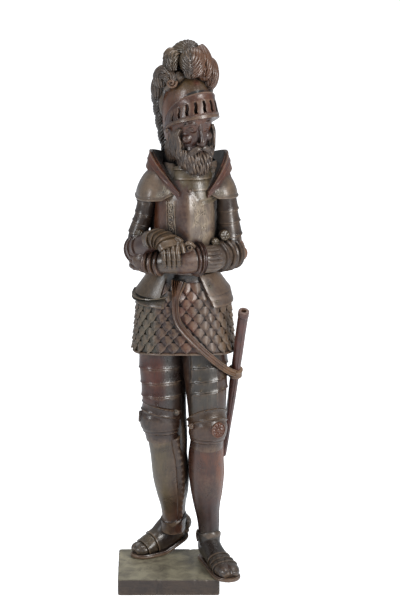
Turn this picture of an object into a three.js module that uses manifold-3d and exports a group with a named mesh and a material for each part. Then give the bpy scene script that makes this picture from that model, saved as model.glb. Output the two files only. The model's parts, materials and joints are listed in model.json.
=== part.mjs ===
// A carved wooden statue of a knight in armour with its plinth. Millimetres, +Z up, the statue faces -Y.
// Left and right in the names are the statue's own sides: its left is on +X.
import * as THREE from "three";
import { mergeVertices } from "three/addons/utils/BufferGeometryUtils.js";
import Module from "manifold-3d";

const wasm = await Module();
wasm.setup();

const DEG = Math.PI / 180;
const PLINTH = [134, 110, 22];
const SOLE = PLINTH[2] + 0.3;
const CHEST = { at: [24.5, 2, 0], turn: 7 };
const HEAD = { at: [26, 4, 0], turn: 28 };

// Facet counts below are for a fine carving; the solid itself keeps this share of them.
const FACETS = 0.72;
const MOST_FACES = 9600;
const REACH = 1;
const fewer = (n, least) => Math.max(least, Math.round(n * FACETS));

// Smooth values through rows of numbers, at t from 0 to the last row.
function through(rows, t) {
  const i = Math.max(0, Math.min(Math.floor(t), rows.length - 2));
  const f = t - i;
  const row = (k) => rows[Math.max(0, Math.min(rows.length - 1, k))];
  return rows[i].map((b, n) => {
    const a = row(i - 1)[n];
    const c = row(i + 1)[n];
    const d = row(i + 2)[n];
    const curve = (2 * a - 5 * b + 4 * c - d) * f * f + (3 * b - a - 3 * c + d) * f * f * f;
    return b + 0.5 * ((c - a) * f + curve);
  });
}

const spread = (from, to, count) => Array.from({ length: count }, (_, i) => from + ((to - from) * i) / (count - 1));

// A closed solid over rings of equal length; both ends close on their middle.
function skin(rings) {
  const n = rings[0].length;
  const points = rings.flat();
  const faces = [];
  for (let k = 0; k + 1 < rings.length; k++) {
    for (let i = 0; i < n; i++) {
      const a = k * n + i;
      const b = k * n + ((i + 1) % n);
      faces.push(a, b, b + n, a, b + n, a + n);
    }
  }
  for (const [first, flip] of [[0, true], [(rings.length - 1) * n, false]]) {
    const ring = points.slice(first, first + n);
    const middle = points.length;
    points.push([0, 1, 2].map((axis) => ring.reduce((sum, p) => sum + p[axis], 0) / n));
    for (let i = 0; i < n; i++) {
      const a = first + i;
      const b = first + ((i + 1) % n);
      faces.push(...(flip ? [b, a, middle] : [a, b, middle]));
    }
  }
  return { points, faces };
}

function solid({ points, faces }) {
  const mesh = new wasm.Mesh({
    numProp: 3,
    vertProperties: Float32Array.from(points.flat()),
    triVerts: Uint32Array.from(faces),
  });
  const made = new wasm.Manifold(mesh);
  if (made.volume() >= 0) return made;
  const turned = [];
  for (let i = 0; i < faces.length; i += 3) turned.push(faces[i], faces[i + 2], faces[i + 1]);
  mesh.triVerts = Uint32Array.from(turned);
  return new wasm.Manifold(mesh);
}

// Turns a shape about +Z by turn degrees, tips it forward by nod degrees and moves it.
function placed(shape, { at, turn = 0, nod = 0 }) {
  const matrix = new THREE.Matrix4().makeRotationZ(turn * DEG);
  matrix.multiply(new THREE.Matrix4().makeRotationX(nod * DEG));
  matrix.setPosition(...at);
  const moved = shape.points.map((p) => new THREE.Vector3(...p).applyMatrix4(matrix).toArray());
  return { points: moved, faces: shape.faces };
}

const mirrored = (rows) => rows.map(([x, ...rest]) => [-x, ...rest]);

// A limb through rows of x, y, z, half width, half depth. The depth of its section follows front.
// Each step is a place where one plate ends in a raised edge over the next.
function limb(rows, { front = [0, -1, 0], sides = 16, count = 8, steps = [], rise = 1.2, power = 2, relief }) {
  const last = rows.length - 1;
  const edge = 0.02;
  const around = relief ? sides : fewer(sides, 8);
  let ts = spread(0, last, relief ? count : fewer(count, Math.min(count, 3))).filter((t) => steps.every((s) => Math.abs(s - t) > 3 * edge));
  ts = [...ts, ...steps.flatMap((s) => [s - edge, s + edge])].sort((a, b) => a - b);
  const rings = ts.map((t) => {
    const [x, y, z, wide, deep] = through(rows, t);
    const before = through(rows, Math.max(0, t - 0.05));
    const after = through(rows, Math.min(last, t + 0.05));
    const along = new THREE.Vector3(after[0] - before[0], after[1] - before[1], after[2] - before[2]).normalize();
    const across = new THREE.Vector3(...front).cross(along).normalize();
    const ahead = along.clone().cross(across).normalize();
    const upper = Math.max(-1, ...steps.filter((s) => s <= t));
    const lower = Math.min(last + 1, ...steps.filter((s) => s > t));
    const lip = steps.length && lower <= last ? rise * Math.pow((t - upper) / (lower - upper), 3) : 0;
    return Array.from({ length: around }, (_, i) => {
      const angle = (2 * Math.PI * (i + 0.5)) / around;
      const c = Math.cos(angle);
      const s = Math.sin(angle);
      const round = Math.pow(Math.abs(c) ** power + Math.abs(s) ** power, -1 / power);
      const more = lip + (relief ? relief(t, angle) : 0);
      const u = c * round * (wide + more);
      const v = s * round * (deep + more);
      return [0, 1, 2].map((k) => [x, y, z][k] + u * across.getComponent(k) + v * ahead.getComponent(k));
    });
  });
  return skin(rings);
}

// A ball with three radii and an optional relief over its two angles.
function ball(centre, radii, { sides = 12, levels = 8, turn = 0, nod = 0, roll = 0, relief } = {}) {
  const turned = new THREE.Matrix4().makeRotationFromEuler(new THREE.Euler(nod * DEG, roll * DEG, turn * DEG, "ZYX"));
  const columns = relief ? sides : fewer(sides, 8);
  const rings = spread(0.07, 0.93, fewer(levels, 4)).map((v) =>
    Array.from({ length: columns }, (_, i) => {
      const around = (2 * Math.PI * i) / columns;
      const lift = Math.PI * (v - 0.5);
      const r = 1 + (relief ? relief(around, v) : 0);
      const p = new THREE.Vector3(
        radii[0] * Math.cos(lift) * Math.cos(around) * r,
        radii[1] * Math.cos(lift) * Math.sin(around) * r,
        radii[2] * Math.sin(lift) * r,
      ).applyMatrix4(turned);
      return [p.x + centre[0], p.y + centre[1], p.z + centre[2]];
    }),
  );
  return skin(rings);
}

// A plate between an outer and an inner face, both given over u and v from 0 to 1.
function plate(outer, inner, across, along) {
  const columns = fewer(across, 4) + 1;
  const rings = spread(0, 1, fewer(along, 1) + 1).map((v) => [
    ...spread(0, 1, columns).map((u) => outer(u, v)),
    ...spread(1, 0, columns).map((u) => inner(u, v)),
  ]);
  return skin(rings);
}

// A box between two corners, for cuts and plain blocks.
function block(low, high) {
  const ring = (z) => [[low[0], low[1], z], [high[0], low[1], z], [high[0], high[1], z], [low[0], high[1], z]];
  return skin([ring(low[2]), ring(high[2])]);
}

// A flat band swept along rows of x, y, z with its face turned to the outward direction.
function band(rows, { wide, thick, count, outward }) {
  const last = rows.length - 1;
  const rings = spread(0, last, count).map((t) => {
    const p = new THREE.Vector3(...through(rows, t));
    const q = new THREE.Vector3(...through(rows, Math.min(last, t + 0.05)));
    const along = t < last ? q.clone().sub(p) : p.clone().sub(new THREE.Vector3(...through(rows, t - 0.05)));
    const face = new THREE.Vector3(...outward(p)).normalize();
    const side = face.clone().cross(along.normalize()).normalize();
    face.copy(along).cross(side).normalize();
    const corner = (a, b) => p.clone().addScaledVector(side, a).addScaledVector(face, b).toArray();
    const h = wide / 2;
    return [
      corner(-h, -thick), corner(h, -thick), corner(h, 0.6),
      corner(h - 1.6, 0.6), corner(h - 2, 0), corner(-h + 2, 0), corner(-h + 1.6, 0.6), corner(-h, 0.6),
    ];
  });
  return skin(rings);
}

// Legs. The left one carries the weight; the right one is set back with its heel off the ground.
const LEFT_FRONT = [0.34, -0.94, 0];
const RIGHT_FRONT = [-0.76, -0.65, 0];

function legs() {
  const leftThigh = [
    [45, 9, 350, 30, 32],
    [46.3, 4, 312, 29.5, 31],
    [47.2, 1, 292, 28.6, 30],
    [48.3, -1, 272, 27, 28.5],
    [49.3, -4, 250, 25.2, 26.5],
    [50, -5, 228, 24, 25],
  ];
  const rightThigh = [
    [-9, 12, 350, 27, 31],
    [-9, 9, 314, 26.5, 30.5],
    [-9, 7, 298, 26, 30],
    [-8.2, 4, 278, 25, 28.5],
    [-7.6, 2, 256, 24, 28],
    [-7, 1, 228, 24, 27],
  ];
  const leftGreave = [
    [50.1, -3, 206, 22, 23],
    [49.4, 2, 186, 22.4, 24],
    [49, 6, 168, 23, 25],
    [49.4, 9, 149, 23, 25],
    [49.6, 12, 124, 20.6, 22.5],
    [50, 14, 103, 17, 19],
    [51.7, 16, 83, 14.4, 16],
    [53.3, 17, 60, 13.4, 14.5],
    [53.5, 17, 46, 13.6, 15],
  ];
  const rightGreave = [
    [-4, 3, 206, 21, 25.5],
    [-2, 7, 190, 20.5, 25],
    [1, 11, 169, 21.5, 25.5],
    [3.2, 17, 144, 21, 25.5],
    [5.4, 24, 118, 18.4, 22.5],
    [6, 29, 100, 15.2, 18.5],
    [6.4, 33, 85, 14, 16.5],
    [6.5, 36, 66, 13.4, 15.5],
    [6.5, 37, 56, 13, 15],
  ];
  const made = [
    limb(leftThigh, { steps: [2, 2.95, 3.7], count: 7, sides: 18, front: LEFT_FRONT, rise: 1.4 }),
    limb(rightThigh, { steps: [2.3, 3.3], count: 7, sides: 18, front: RIGHT_FRONT, rise: 1.4 }),
    limb(leftGreave, { count: 10, sides: 16, front: LEFT_FRONT }),
    limb(rightGreave, { count: 10, sides: 16, front: RIGHT_FRONT }),
  ];
  // Knee plates: a cup with two raised rims above it and small plates below.
  const knee = (centre, front, size, side) => {
    const [x, y, z] = centre;
    const tip = [front[0], front[1]];
    const rows = [
      [x - 1 * tip[0], y - 1 * tip[1], z + 31 * size, 23.5 * size, 24 * size],
      [x, y, z + 20 * size, 24.5 * size, 25.5 * size],
      [x + 2 * tip[0], y + 2 * tip[1], z + 9 * size, 25.5 * size, 27.5 * size],
      [x + 3.5 * tip[0], y + 3.5 * tip[1], z - 2 * size, 25 * size, 29 * size],
      [x + 2 * tip[0], y + 2 * tip[1], z - 14 * size, 23.5 * size, 26.5 * size],
      [x, y, z - 24 * size, 22 * size, 23.5 * size],
    ];
    made.push(limb(rows, { steps: [0.9, 1.9], count: 7, sides: 18, front, rise: 1.8 }));
    const a = Math.atan2(front[1], front[0]) + side * 0.85;
    const out = [x + 25.5 * size * Math.cos(a), y + 25.5 * size * Math.sin(a), z - 4];
    made.push(ball(out, [9, 3.6, 9], { sides: 12, levels: 6, turn: a / DEG + 90 }));
  };
  knee([50.2, -6, 220], LEFT_FRONT, 1, 0.35);
  knee([-7.5, 0, 224], RIGHT_FRONT, 1.03, 0.2);
  return made;
}

// A foot in its own frame: the toe points to -Y, the sole is at z 0 and the heel lifts by lift.
function foot({ at, turn, lift, long, wide, rise = 0 }) {
  const heel = 0.36 * long;
  const ground = (y) => lift * Math.max(0, (y + 0.12 * long) / (heel + 0.12 * long)) ** 1.15;
  const upper = [
    [heel - 1, 10.5, 18],
    [heel - 7, 13.2, 29 + rise / 2],
    [heel - 20, 14, 33 + rise],
    [0.02 * long, 14.6, 28 + rise],
    [-0.14 * long, 16, 22.5],
    [-0.3 * long, 17.4, 18.5],
    [-0.45 * long, 17.2, 15],
    [-0.56 * long, 14.4, 12.5],
    [-0.62 * long, 9.5, 8.5],
  ];
  const rows = upper.map(([y, half, top]) => [0, y, ground(y) + 3 + top / 2, (half * wide) / 17, top / 2 + 0.5]);
  const sole = [
    [heel + 1, 9.5],
    [heel - 5, 13.5],
    [heel - 18, 14.6],
    [0, 15.4],
    [-0.16 * long, 17],
    [-0.32 * long, 18.6],
    [-0.46 * long, 18.2],
    [-0.57 * long, 15],
    [-0.64 * long, 9],
  ];
  const edge = sole.map(([y, half]) => [y, (half * wide) / 17]);
  const rings = edge.map(([y, half]) => {
    const z = ground(y);
    return [[-half, y, z], [half, y, z], [half, y, z + 4.2], [-half, y, z + 4.2]];
  });
  const options = { front: [0, 0, 1], sides: 14, count: 13, power: 2.4 };
  const body = limb(rows, { ...options, steps: [3.25, 4.6, 5.5], rise: 1.3 });
  return [body, skin(rings)].map((shape) => placed(shape, { at, turn }));
}

function feet() {
  const left = foot({ at: [60.5, -4.5, SOLE], turn: 20, lift: 0, long: 95, wide: 17 });
  const right = foot({ at: [0, 49, SOLE], turn: -61, lift: 15, long: 80, wide: 15.5, rise: 9 });
  // Raised rims where the foot plates close round the ankle.
  const rims = [
    limb([[53.8, 17, 61, 14.6, 16], [54, 16, 52, 14.8, 17], [55, 14, 42, 14, 17]], { front: LEFT_FRONT, count: 3 }),
    limb([[6.2, 34, 79, 15.4, 18.4], [6.6, 36, 71, 15.2, 18.2], [6.4, 38, 58, 13.6, 17]], { front: RIGHT_FRONT, count: 3 }),
    ball([27, 55, 56], [4.5, 4.5, 5], { sides: 8, levels: 5 }),
  ];
  return [...left, ...right, ...rims];
}

// Skirt of pointed scales. Every scale is a small pyramid whose top lies near its lower point.
const SKIRT = { x: 20.2, y: 8, top: 426, hem: 320 };
const skirtWide = (z) => 65.5 - 7.2 * (Math.min(84, z - 318) / 70) ** 0.8 - 0.62 * Math.max(0, z - 402);
const skirtAt = (angle, z, more = 0) => {
  const wide = skirtWide(Math.max(z, 318.01)) + more;
  const deep = 0.69 * (wide - more) + more;
  const p = 2.25;
  const c = Math.cos(angle);
  const s = Math.sin(angle);
  const round = (Math.abs(c) ** p + Math.abs(s) ** p) ** (-1 / p);
  return [SKIRT.x + wide * c * round, SKIRT.y + deep * s * round, z];
};
const hemAt = (angle) => SKIRT.hem + 6.5 * Math.max(0, -Math.sin(angle)) ** 2;

function skirt() {
  const columns = 34;
  const rows = 10;
  const points = [];
  const faces = [];
  const level = (k, angle) => SKIRT.top + ((hemAt(angle) + 3.5 - SKIRT.top) * k) / rows;
  const lattice = (k, j) => {
    const index = ((j % columns) + columns) % columns;
    return k * columns + index;
  };
  for (let k = 0; k <= rows; k++) {
    for (let j = 0; j < columns; j++) {
      const angle = (2 * Math.PI * (j + 0.5 * (k % 2))) / columns;
      points.push(skirtAt(angle, level(k, angle), 0));
    }
  }
  for (let k = 0; k <= rows; k++) {
    const shift = k % 2;
    for (let j = 0; j < columns; j++) {
      const left = k === 0 || k === rows ? lattice(k, j) : lattice(k, j);
      const right = lattice(k, j + 1);
      const below = k < rows ? lattice(k + 1, j + shift) : -1;
      const above = k > 0 ? lattice(k - 1, j + shift) : -1;
      const angle = (2 * Math.PI * (j + 0.5 + 0.5 * shift)) / columns;
      const z = level(Math.min(rows, k + 0.42), angle);
      const tip = points.length;
      if (above < 0) faces.push(left, below, right);
      else if (below < 0) faces.push(left, right, above);
      else {
        points.push(skirtAt(angle, z, 3));
        faces.push(left, below, tip, below, right, tip, right, above, tip, above, left, tip);
      }
    }
  }
  for (const [k, flip] of [[0, true], [rows, false]]) {
    const middle = points.length;
    points.push([SKIRT.x, SKIRT.y, k ? SKIRT.hem + 6 : SKIRT.top]);
    for (let j = 0; j < columns; j++) {
      const a = lattice(k, j);
      const b = lattice(k, j + 1);
      faces.push(...(flip ? [a, b, middle] : [b, a, middle]));
    }
  }
  const ring = (more, drop) => spread(0, 27, 28).map((i) => {
    const angle = (2 * Math.PI * i) / 28;
    return skirtAt(angle, hemAt(angle) + drop, more);
  });
  return [{ points, faces }, skin([ring(1.4, 0), ring(1.8, 4)])];
}

// A curved hip plate over the skirt, between two angles, from a top to a bottom height.
function hipPlate({ from, to, high, low, out = 2, flare = 1.5, thick = 13, slant = 0, across = 6 }) {
  const face = (more) => (u, v) => {
    const z = high + (low - high) * v;
    const start = from + slant * v;
    const angle = (start + (to - start) * u) * DEG;
    return skirtAt(angle, z, out + flare * v + more);
  };
  return plate(face(0), face(-thick), across, high - low > 20 ? 3 : 1);
}

function hips() {
  const trunk = [
    [SKIRT.x, SKIRT.y, 404, 50, 34],
    [20, 6, 418, 42, 30],
    [20.5, 5, 430, 35, 28],
    [21, 5, 440, 33, 27],
  ];
  const made = [
    limb(trunk, { front: [0, -1, 0], count: 6, sides: 20 }),
    hipPlate({ from: -66, to: 80, high: 431, low: 407, out: 2.5, slant: 3, across: 8 }),
    hipPlate({ from: 100, to: 238, high: 431, low: 407, out: 2.5, across: 7 }),
    hipPlate({ from: -64, to: 70, high: 408, low: 391, out: 2.4, slant: 4, across: 7 }),
    hipPlate({ from: -61, to: 60, high: 392, low: 379, out: 1.8, slant: 6, across: 6 }),
    hipPlate({ from: 110, to: 243, high: 408, low: 391, out: 1.6, across: 6 }),
    hipPlate({ from: 118, to: 242, high: 392, low: 377, out: 1.2, slant: 0, across: 6 }),
    limb([[21, 4, 432, 37, 31], [21, 4, 438, 37, 31]], { count: 2, sides: 20 }),
  ];
  // The flared crescent on the right hip: a shallow dish whose rim stands out from the body.
  const dish = (thick) => (u, v) => {
    const angle = (176 + 84 * u) * DEG;
    const bulge = Math.sin(Math.PI * Math.min(1, 0.12 + 0.88 * u)) ** 0.6;
    const out = -3 + (14 * v + 2) * bulge;
    const p = skirtAt(angle, 404, out);
    return [p[0], p[1], 408.5 - 1.5 * u - bulge * (3 * v + 6 * v * v) - thick * (1 - 0.3 * v)];
  };
  made.push(plate(dish(0), dish(3.6), 9, 3));
  return made;
}

// Chest in its own frame, centred on the body and facing -Y.
function chest() {
  const levels = [
    [434, 31, 27, 24],
    [448, 35, 32, 28],
    [466, 38.5, 38, 32],
    [484, 39.2, 42, 35],
    [504, 38.8, 44, 37],
    [522, 38, 43, 37],
    [538, 37, 39, 35],
    [552, 34, 32, 31],
    [562, 27, 24, 27],
  ];
  const rings = spread(0, levels.length - 1, 8).map((t) => {
    const [z, wide, front, back] = through(levels, t);
    return spread(0, 19, 20).map((i) => {
      const angle = (2 * Math.PI * i) / 20;
      const c = Math.cos(angle);
      const s = Math.sin(angle);
      const x = wide * c * (Math.abs(c) ** 2.3 + Math.abs(s) ** 2.3) ** (-1 / 2.3);
      const depth = s < 0 ? front : back;
      const keel = s < 0 ? 5.5 * Math.max(0, 1 - Math.abs(x) / 22) : 0;
      const y = depth * s * (Math.abs(c) ** 2.3 + Math.abs(s) ** 2.3) ** (-1 / 2.3) - keel;
      return [x - 3.5, y, z];
    });
  });
  const made = [placed(skin(rings), CHEST)];
  const gorget = [
    [5, -3, 533, 37, 38],
    [5, -4, 543, 35, 36],
    [5, -3.5, 553, 32.5, 33],
    [5, -1.5, 564, 30.5, 30],
    [5, 0, 568, 28, 27],
  ];
  made.push(placed(limb(gorget, { count: 5, sides: 20, steps: [0.9, 2], rise: 1.2 }), CHEST));
  for (const side of [-1, 1]) made.push(...shoulder(side));
  return made;
}

// Shoulder dome and the tall collar that rises from it.
function shoulder(side) {
  const centre = [side * 37 - 0.2, 0];
  const sides = 18;
  const heights = [0, 0.3, 0.55, 0.78, 0.93, 1];
  const rings = heights.map((v) =>
    Array.from({ length: sides }, (_, i) => {
      const angle = (2 * Math.PI * i) / sides;
      const c = Math.cos(angle) * side;
      const s = Math.sin(angle);
      const outer = c > 0 ? 28.5 : 27;
      const round = (Math.abs(c) ** 2.6 + Math.abs(s) ** 2.6) ** (-1 / 2.6);
      const x = outer * c * round * side;
      const y = 38 * s * round;
      const inward = Math.max(0, -c) * Math.max(0, -s);
      const edge = 530 + 16 * inward + 6 * Math.max(0, -s);
      const shrink = Math.max(0.02, 1 - v ** 1.6) ** 0.62;
      return [centre[0] + x * shrink, centre[1] + y * shrink, edge + (573 - edge) * v];
    }),
  );
  const collar = (shift, lift) => {
    const high = [
      [16.5, -41, 548],
      [29, -33, 564],
      [40, -14, 577],
      [46.5, 9, 589],
      [42, 26, 587],
      [28, 38, 581],
    ];
    const low = [
      [15.5, -39, 538],
      [31, -33, 550],
      [45, -15, 561],
      [53, 8, 568],
      [48, 29, 567],
      [32, 41, 562],
    ];
    return (u, v) => {
      const a = through(low, u * 5);
      const b = through(high, u * 5);
      const tall = lift * v;
      const p = [0, 1, 2].map((k) => a[k] + (b[k] - a[k]) * v + (k === 2 ? tall : 0));
      const away = Math.hypot(p[0] - 5, p[1]);
      const scale = 1 - shift / away;
      return [side * ((p[0] - 5) * scale + 5) + 4 + 2 * side, p[1] * scale, p[2]];
    };
  };
  const dome = skin(rings);
  const wing = plate(collar(0, 0), collar(3.6, 0), 14, 2);
  return [placed(dome, CHEST), placed(wing, CHEST)];
}

// Arms fold in front of the belly, the right hand on top of the left forearm.
function arms() {
  const rightUpper = [
    [-16, 3, 556, 13, 14],
    [-25, 3, 538, 13, 14],
    [-27.5, 4, 518, 12.4, 14],
    [-31.5, 4, 500, 12.2, 13.5],
    [-37.5, 4, 484, 12, 13.5],
    [-41, 3, 466, 12, 14],
  ];
  const rightLower = [
    [-42, 6, 457, 15.5, 18],
    [-38, -8, 463, 15.5, 17],
    [-30, -24, 471, 14.5, 15.5],
    [-21, -38, 480, 13, 13],
    [-14, -47, 486, 12, 11],
  ];
  const leftUpper = [
    [68, 3, 556, 13, 14],
    [73.5, 4, 538, 13, 14],
    [75.8, 4, 522, 13, 14.5],
    [77, 4, 506, 13.6, 15],
    [78.5, 3, 489, 14.8, 16],
    [80, 3, 470, 15.5, 17],
  ];
  const leftLower = [
    [86, 7, 455, 17, 18],
    [76, -8, 456, 18.5, 18],
    [63, -24, 457, 18.5, 17],
    [52, -33, 457, 18.6, 17],
    [42, -40, 459, 18.6, 17],
    [34, -44, 460, 17.5, 16.5],
    [18, -48, 459, 17.2, 16],
    [0, -46, 457, 16, 15],
    [-16, -38, 455, 16, 13],
  ];
  const flutes = (t, angle) => (t > 2.4 && t < 4 ? 1.1 * Math.cos(11 * angle) : 0);
  const made = [
    limb(rightUpper, { count: 7, sides: 14, steps: [1.7, 3.2], rise: 0.9 }),
    limb(rightLower, { count: 7, sides: 14, front: [0, 0, 1] }),
    limb(leftUpper, { count: 7, sides: 14, steps: [2.7, 3.8, 4.6], rise: 1.6 }),
    limb(leftLower, { count: 9, sides: 22, front: [0, 0, 1], relief: flutes }),
    limb([[39, -41, 459.5, 23, 20.5], [36, -42.6, 460, 23.5, 21]], { count: 2, sides: 18, front: [0, 0, 1] }),
    limb([[34, -43.6, 460, 23.5, 21], [31, -45, 460, 22.6, 20]], { count: 2, sides: 18, front: [0, 0, 1] }),
    limb([[67, -20, 457, 20.5, 19.5], [63.5, -23, 457, 21.5, 20.5]], { count: 2, sides: 18, front: [0, 0, 1] }),
    limb([[76, -10, 456, 20.5, 19.5], [72, -14, 456.5, 21.8, 20.8]], { count: 2, sides: 18, front: [0, 0, 1] }),
    limb([[-16, 9, 548, 8, 12], [-17.5, 9, 505, 7, 11], [-19, 8, 470, 6.5, 10]], { count: 4, sides: 12 }),
    limb([[61, 9, 548, 8, 12], [61.5, 9, 505, 7, 11], [61.5, 8, 466, 6.5, 10]], { count: 4, sides: 12 }),
    ball([-39.5, 4, 459], [14.5, 17, 22], { sides: 14, levels: 8 }),
    ball([84, 5, 456], [16, 17, 20], { sides: 14, levels: 8 }),
    ball([94, 9, 451], [9, 9, 10], { sides: 10, levels: 6 }),
    ball([-35.5, -10, 483], [6.5, 4.5, 6.5], { sides: 10, levels: 5 }),
    ball([73, -13, 482], [7.5, 4.5, 7.5], { sides: 10, levels: 5 }),
    ball([60, -22, 477], [5.5, 4.5, 5.5], { sides: 10, levels: 5 }),
  ];
  return made;
}

function hands() {
  const made = [];
  // Right hand: the back lies on the left forearm and four fingers hang over its front.
  const back = [
    [-17, -44, 487, 12.5, 9.5],
    [-8, -52, 488.5, 15, 9.5],
    [-1, -59, 486, 16, 9],
    [3, -65, 480, 14.5, 8],
  ];
  const cuts = { steps: [0.9, 1.6, 2.3], rise: 1.5 };
  made.push(limb(back, { count: 6, sides: 14, front: [0, 0, 1], power: 2.4, ...cuts }));
  [-5, 1.4, 7.6, 13.4].forEach((x, i) => {
    const low = [455, 453, 454, 457][i];
    const rows = [
      [x - 4 + i, -58, 486, 3.6, 4],
      [x - 1, -66.5, 479, 3.6, 4],
      [x, -69, 470, 3.4, 3.6],
      [x + 0.5, -68, 461, 3.1, 3.3],
      [x + 1, -65, low, 2.4, 2.6],
    ];
    made.push(limb(rows, { count: 6, sides: 8, front: [0, -1, 0.2] }));
  });
  made.push(limb([[8, -52, 489, 5, 5], [17, -59, 484, 4.4, 4.6], [20, -64, 475, 3, 3.4]], { count: 5, sides: 8 }));
  // Left hand: it reaches under the right forearm and closes round the right elbow.
  made.push(ball([-27, -26, 453], [19, 13, 17], { sides: 14, levels: 8 }));
  [463, 457, 451, 445].forEach((z, i) => {
    const rows = [
      [-24, -37, z, 4, 4],
      [-36, -31, z - 1, 3.9, 4],
      [-45, -20, z - 2, 3.7, 3.8],
      [-49.5 + i, -8, z - 2, 3.2, 3.4],
    ];
    made.push(limb(rows, { count: 6, sides: 8, front: [0, 0, 1] }));
  });
  return made;
}

// Head in its own frame, facing -Y, set on the neck and turned to its left.
function head() {
  const made = [];
  const frame = { at: [HEAD.at[0], HEAD.at[1], 0], turn: HEAD.turn };
  const add = (shape) => made.push(solid(placed(shape, frame)));
  // Neck and skull with the face.
  add(limb([[0, 4, 556, 19, 20], [0, 2, 585, 18, 20], [0, 0, 606, 20, 23]], { count: 4, sides: 12 }));
  add(ball([0, -3, 617], [24.5, 31, 36], { sides: 16, levels: 9, nod: 8 }));
  add(ball([0, -27, 628], [20, 9, 5.5], { sides: 12, levels: 5 }));
  const nose = [
    [0, -32, 629, 3, 3.5],
    [0, -37, 619, 3.4, 4.5],
    [0, -41, 609, 4.8, 5.5],
    [0, -35, 603, 4.6, 4.6],
  ];
  add(limb(nose, { count: 6, sides: 8 }));
  // Beard, moustache and side hair in locks.
  const locks = (n, size) => (around, v) => size * Math.cos(n * around + 5 * v);
  add(ball([0, -20, 583], [22.5, 19, 20], { sides: 20, levels: 8, nod: -14, relief: locks(10, 0.07) }));
  add(ball([0, -18, 571], [17, 17, 13.5], { sides: 18, levels: 6, relief: locks(9, 0.08) }));
  for (const side of [-1, 1]) {
    add(ball([side * 8, -36, 596], [9.5, 5, 4.8], { sides: 10, levels: 5, turn: side * -24, roll: side * 24 }));
    add(ball([side * 20.5, -8, 602], [8.5, 15, 21], { sides: 14, levels: 7, nod: 10, relief: locks(7, 0.08) }));
    add(ball([side * 18, 8, 592], [9, 13, 19], { sides: 12, levels: 6, relief: locks(6, 0.08) }));
  }
  // Helmet bowl with a low comb.
  const bowl = [
    [1, 9, 606, 25, 28],
    [1, 7, 618, 28.5, 34],
    [1, 4, 636, 30.2, 38],
    [1, 3, 655, 29.5, 37.5],
    [1, 3, 672, 25, 32.5],
    [1, 4, 685, 16.5, 23],
    [1, 4, 692, 8, 11],
  ];
  add(limb(bowl, { count: 9, sides: 22 }));
  // Raised visor: a pierced band that stands out over the brow.
  const visor = (inner) => (u, v) => {
    const a = (u * 2 - 1) * 97 * DEG;
    const ahead = Math.cos(a * 0.86);
    const low = 617 + 31 * Math.max(0, ahead) ** 1.1;
    const high = 622 + 55 * Math.max(0, ahead) ** 0.8;
    const z = low + (high - low) * v;
    const reach = 33.6 + 17 * Math.max(0, ahead) ** 1.6 * (1 - 0.52 * v) - 1.5 * v - inner;
    return [reach * Math.sin(a) * 0.93, 2 - reach * Math.cos(a), z];
  };
  const shell = solid(placed(plate(visor(0), visor(9), 20, 3), frame));
  const slots = spread(-4, 4, 9).map((k) => {
    const a = k * 15 * DEG;
    const ahead = Math.cos(a * 0.86);
    const low = 617 + 31 * Math.max(0, ahead) ** 1.1 + 4.5;
    const tall = 8 + 12 * ahead ** 2;
    const slot = block([-1.8, -60, low], [1.8, -33 - 4.5 * ahead ** 2, low + tall]);
    const turned = placed(slot, { at: [0, 0, 0], turn: a / DEG });
    return solid(placed(turned, frame));
  });
  made.push(slots.reduce((rest, slot) => rest.subtract(slot), shell));
  return made;
}

// Feathers on the helmet and the twisted tail that hangs behind.
function plumes() {
  const locks = (n, size, slant = 4) => (around, v) => size * Math.cos(n * around + slant * v);
  const made = [
    ball([17.5, 5, 712], [18.5, 22, 20], { sides: 20, levels: 9, roll: 12, relief: locks(10, 0.07) }),
    ball([36, 5, 711], [14.5, 21, 20.5], { sides: 18, levels: 9, roll: -14, relief: locks(9, 0.07) }),
    ball([31, -17, 705], [9, 8, 8], { sides: 12, levels: 6, relief: locks(6, 0.06) }),
    ball([-4, 6, 691], [14.5, 15, 14.5], { sides: 16, levels: 8, relief: locks(8, 0.06) }),
    ball([8, -4, 688], [8, 8, 9], { sides: 12, levels: 6, relief: locks(6, 0.06) }),
    ball([54, 9, 690], [11, 14, 19], { sides: 16, levels: 8, roll: -14, relief: locks(8, 0.06) }),
    ball([52, 12, 672], [8, 10, 11], { sides: 12, levels: 6, relief: locks(6, 0.06) }),
    ball([-12, 20, 671], [9.5, 12, 17], { sides: 14, levels: 8, roll: 8, relief: locks(7, 0.06) }),
    ball([24, 8, 693], [20, 16, 10], { sides: 12, levels: 6 }),
  ];
  const tail = [
    [-14, 22, 668],
    [-14.5, 27, 655],
    [-11.5, 30, 640],
    [-8, 33, 624],
    [-4, 35, 606],
    [1, 36, 588],
    [6, 34, 570],
    [8, 30, 556],
  ];
  const rows = tail.map((p) => [...p, 6.9, 6.9]);
  const twist = (t, angle) => 1.1 * Math.cos(2 * angle - 5.2 * t);
  made.push(limb(rows, { count: 20, sides: 6, relief: twist }));
  return made;
}

// Sword strap across the skirt, with a loop round the scabbard.
const SHEATH = { mouth: [97.6, -38, 388], tip: [72.6, 50, 158] };
const sheathAt = (t) => SHEATH.mouth.map((m, k) => m + (SHEATH.tip[k] - m) * t);
const sheathHalf = (t) => 6.8 - 0.9 * t - 2.3 * t * t;
const LOOP = 0.415;

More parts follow.
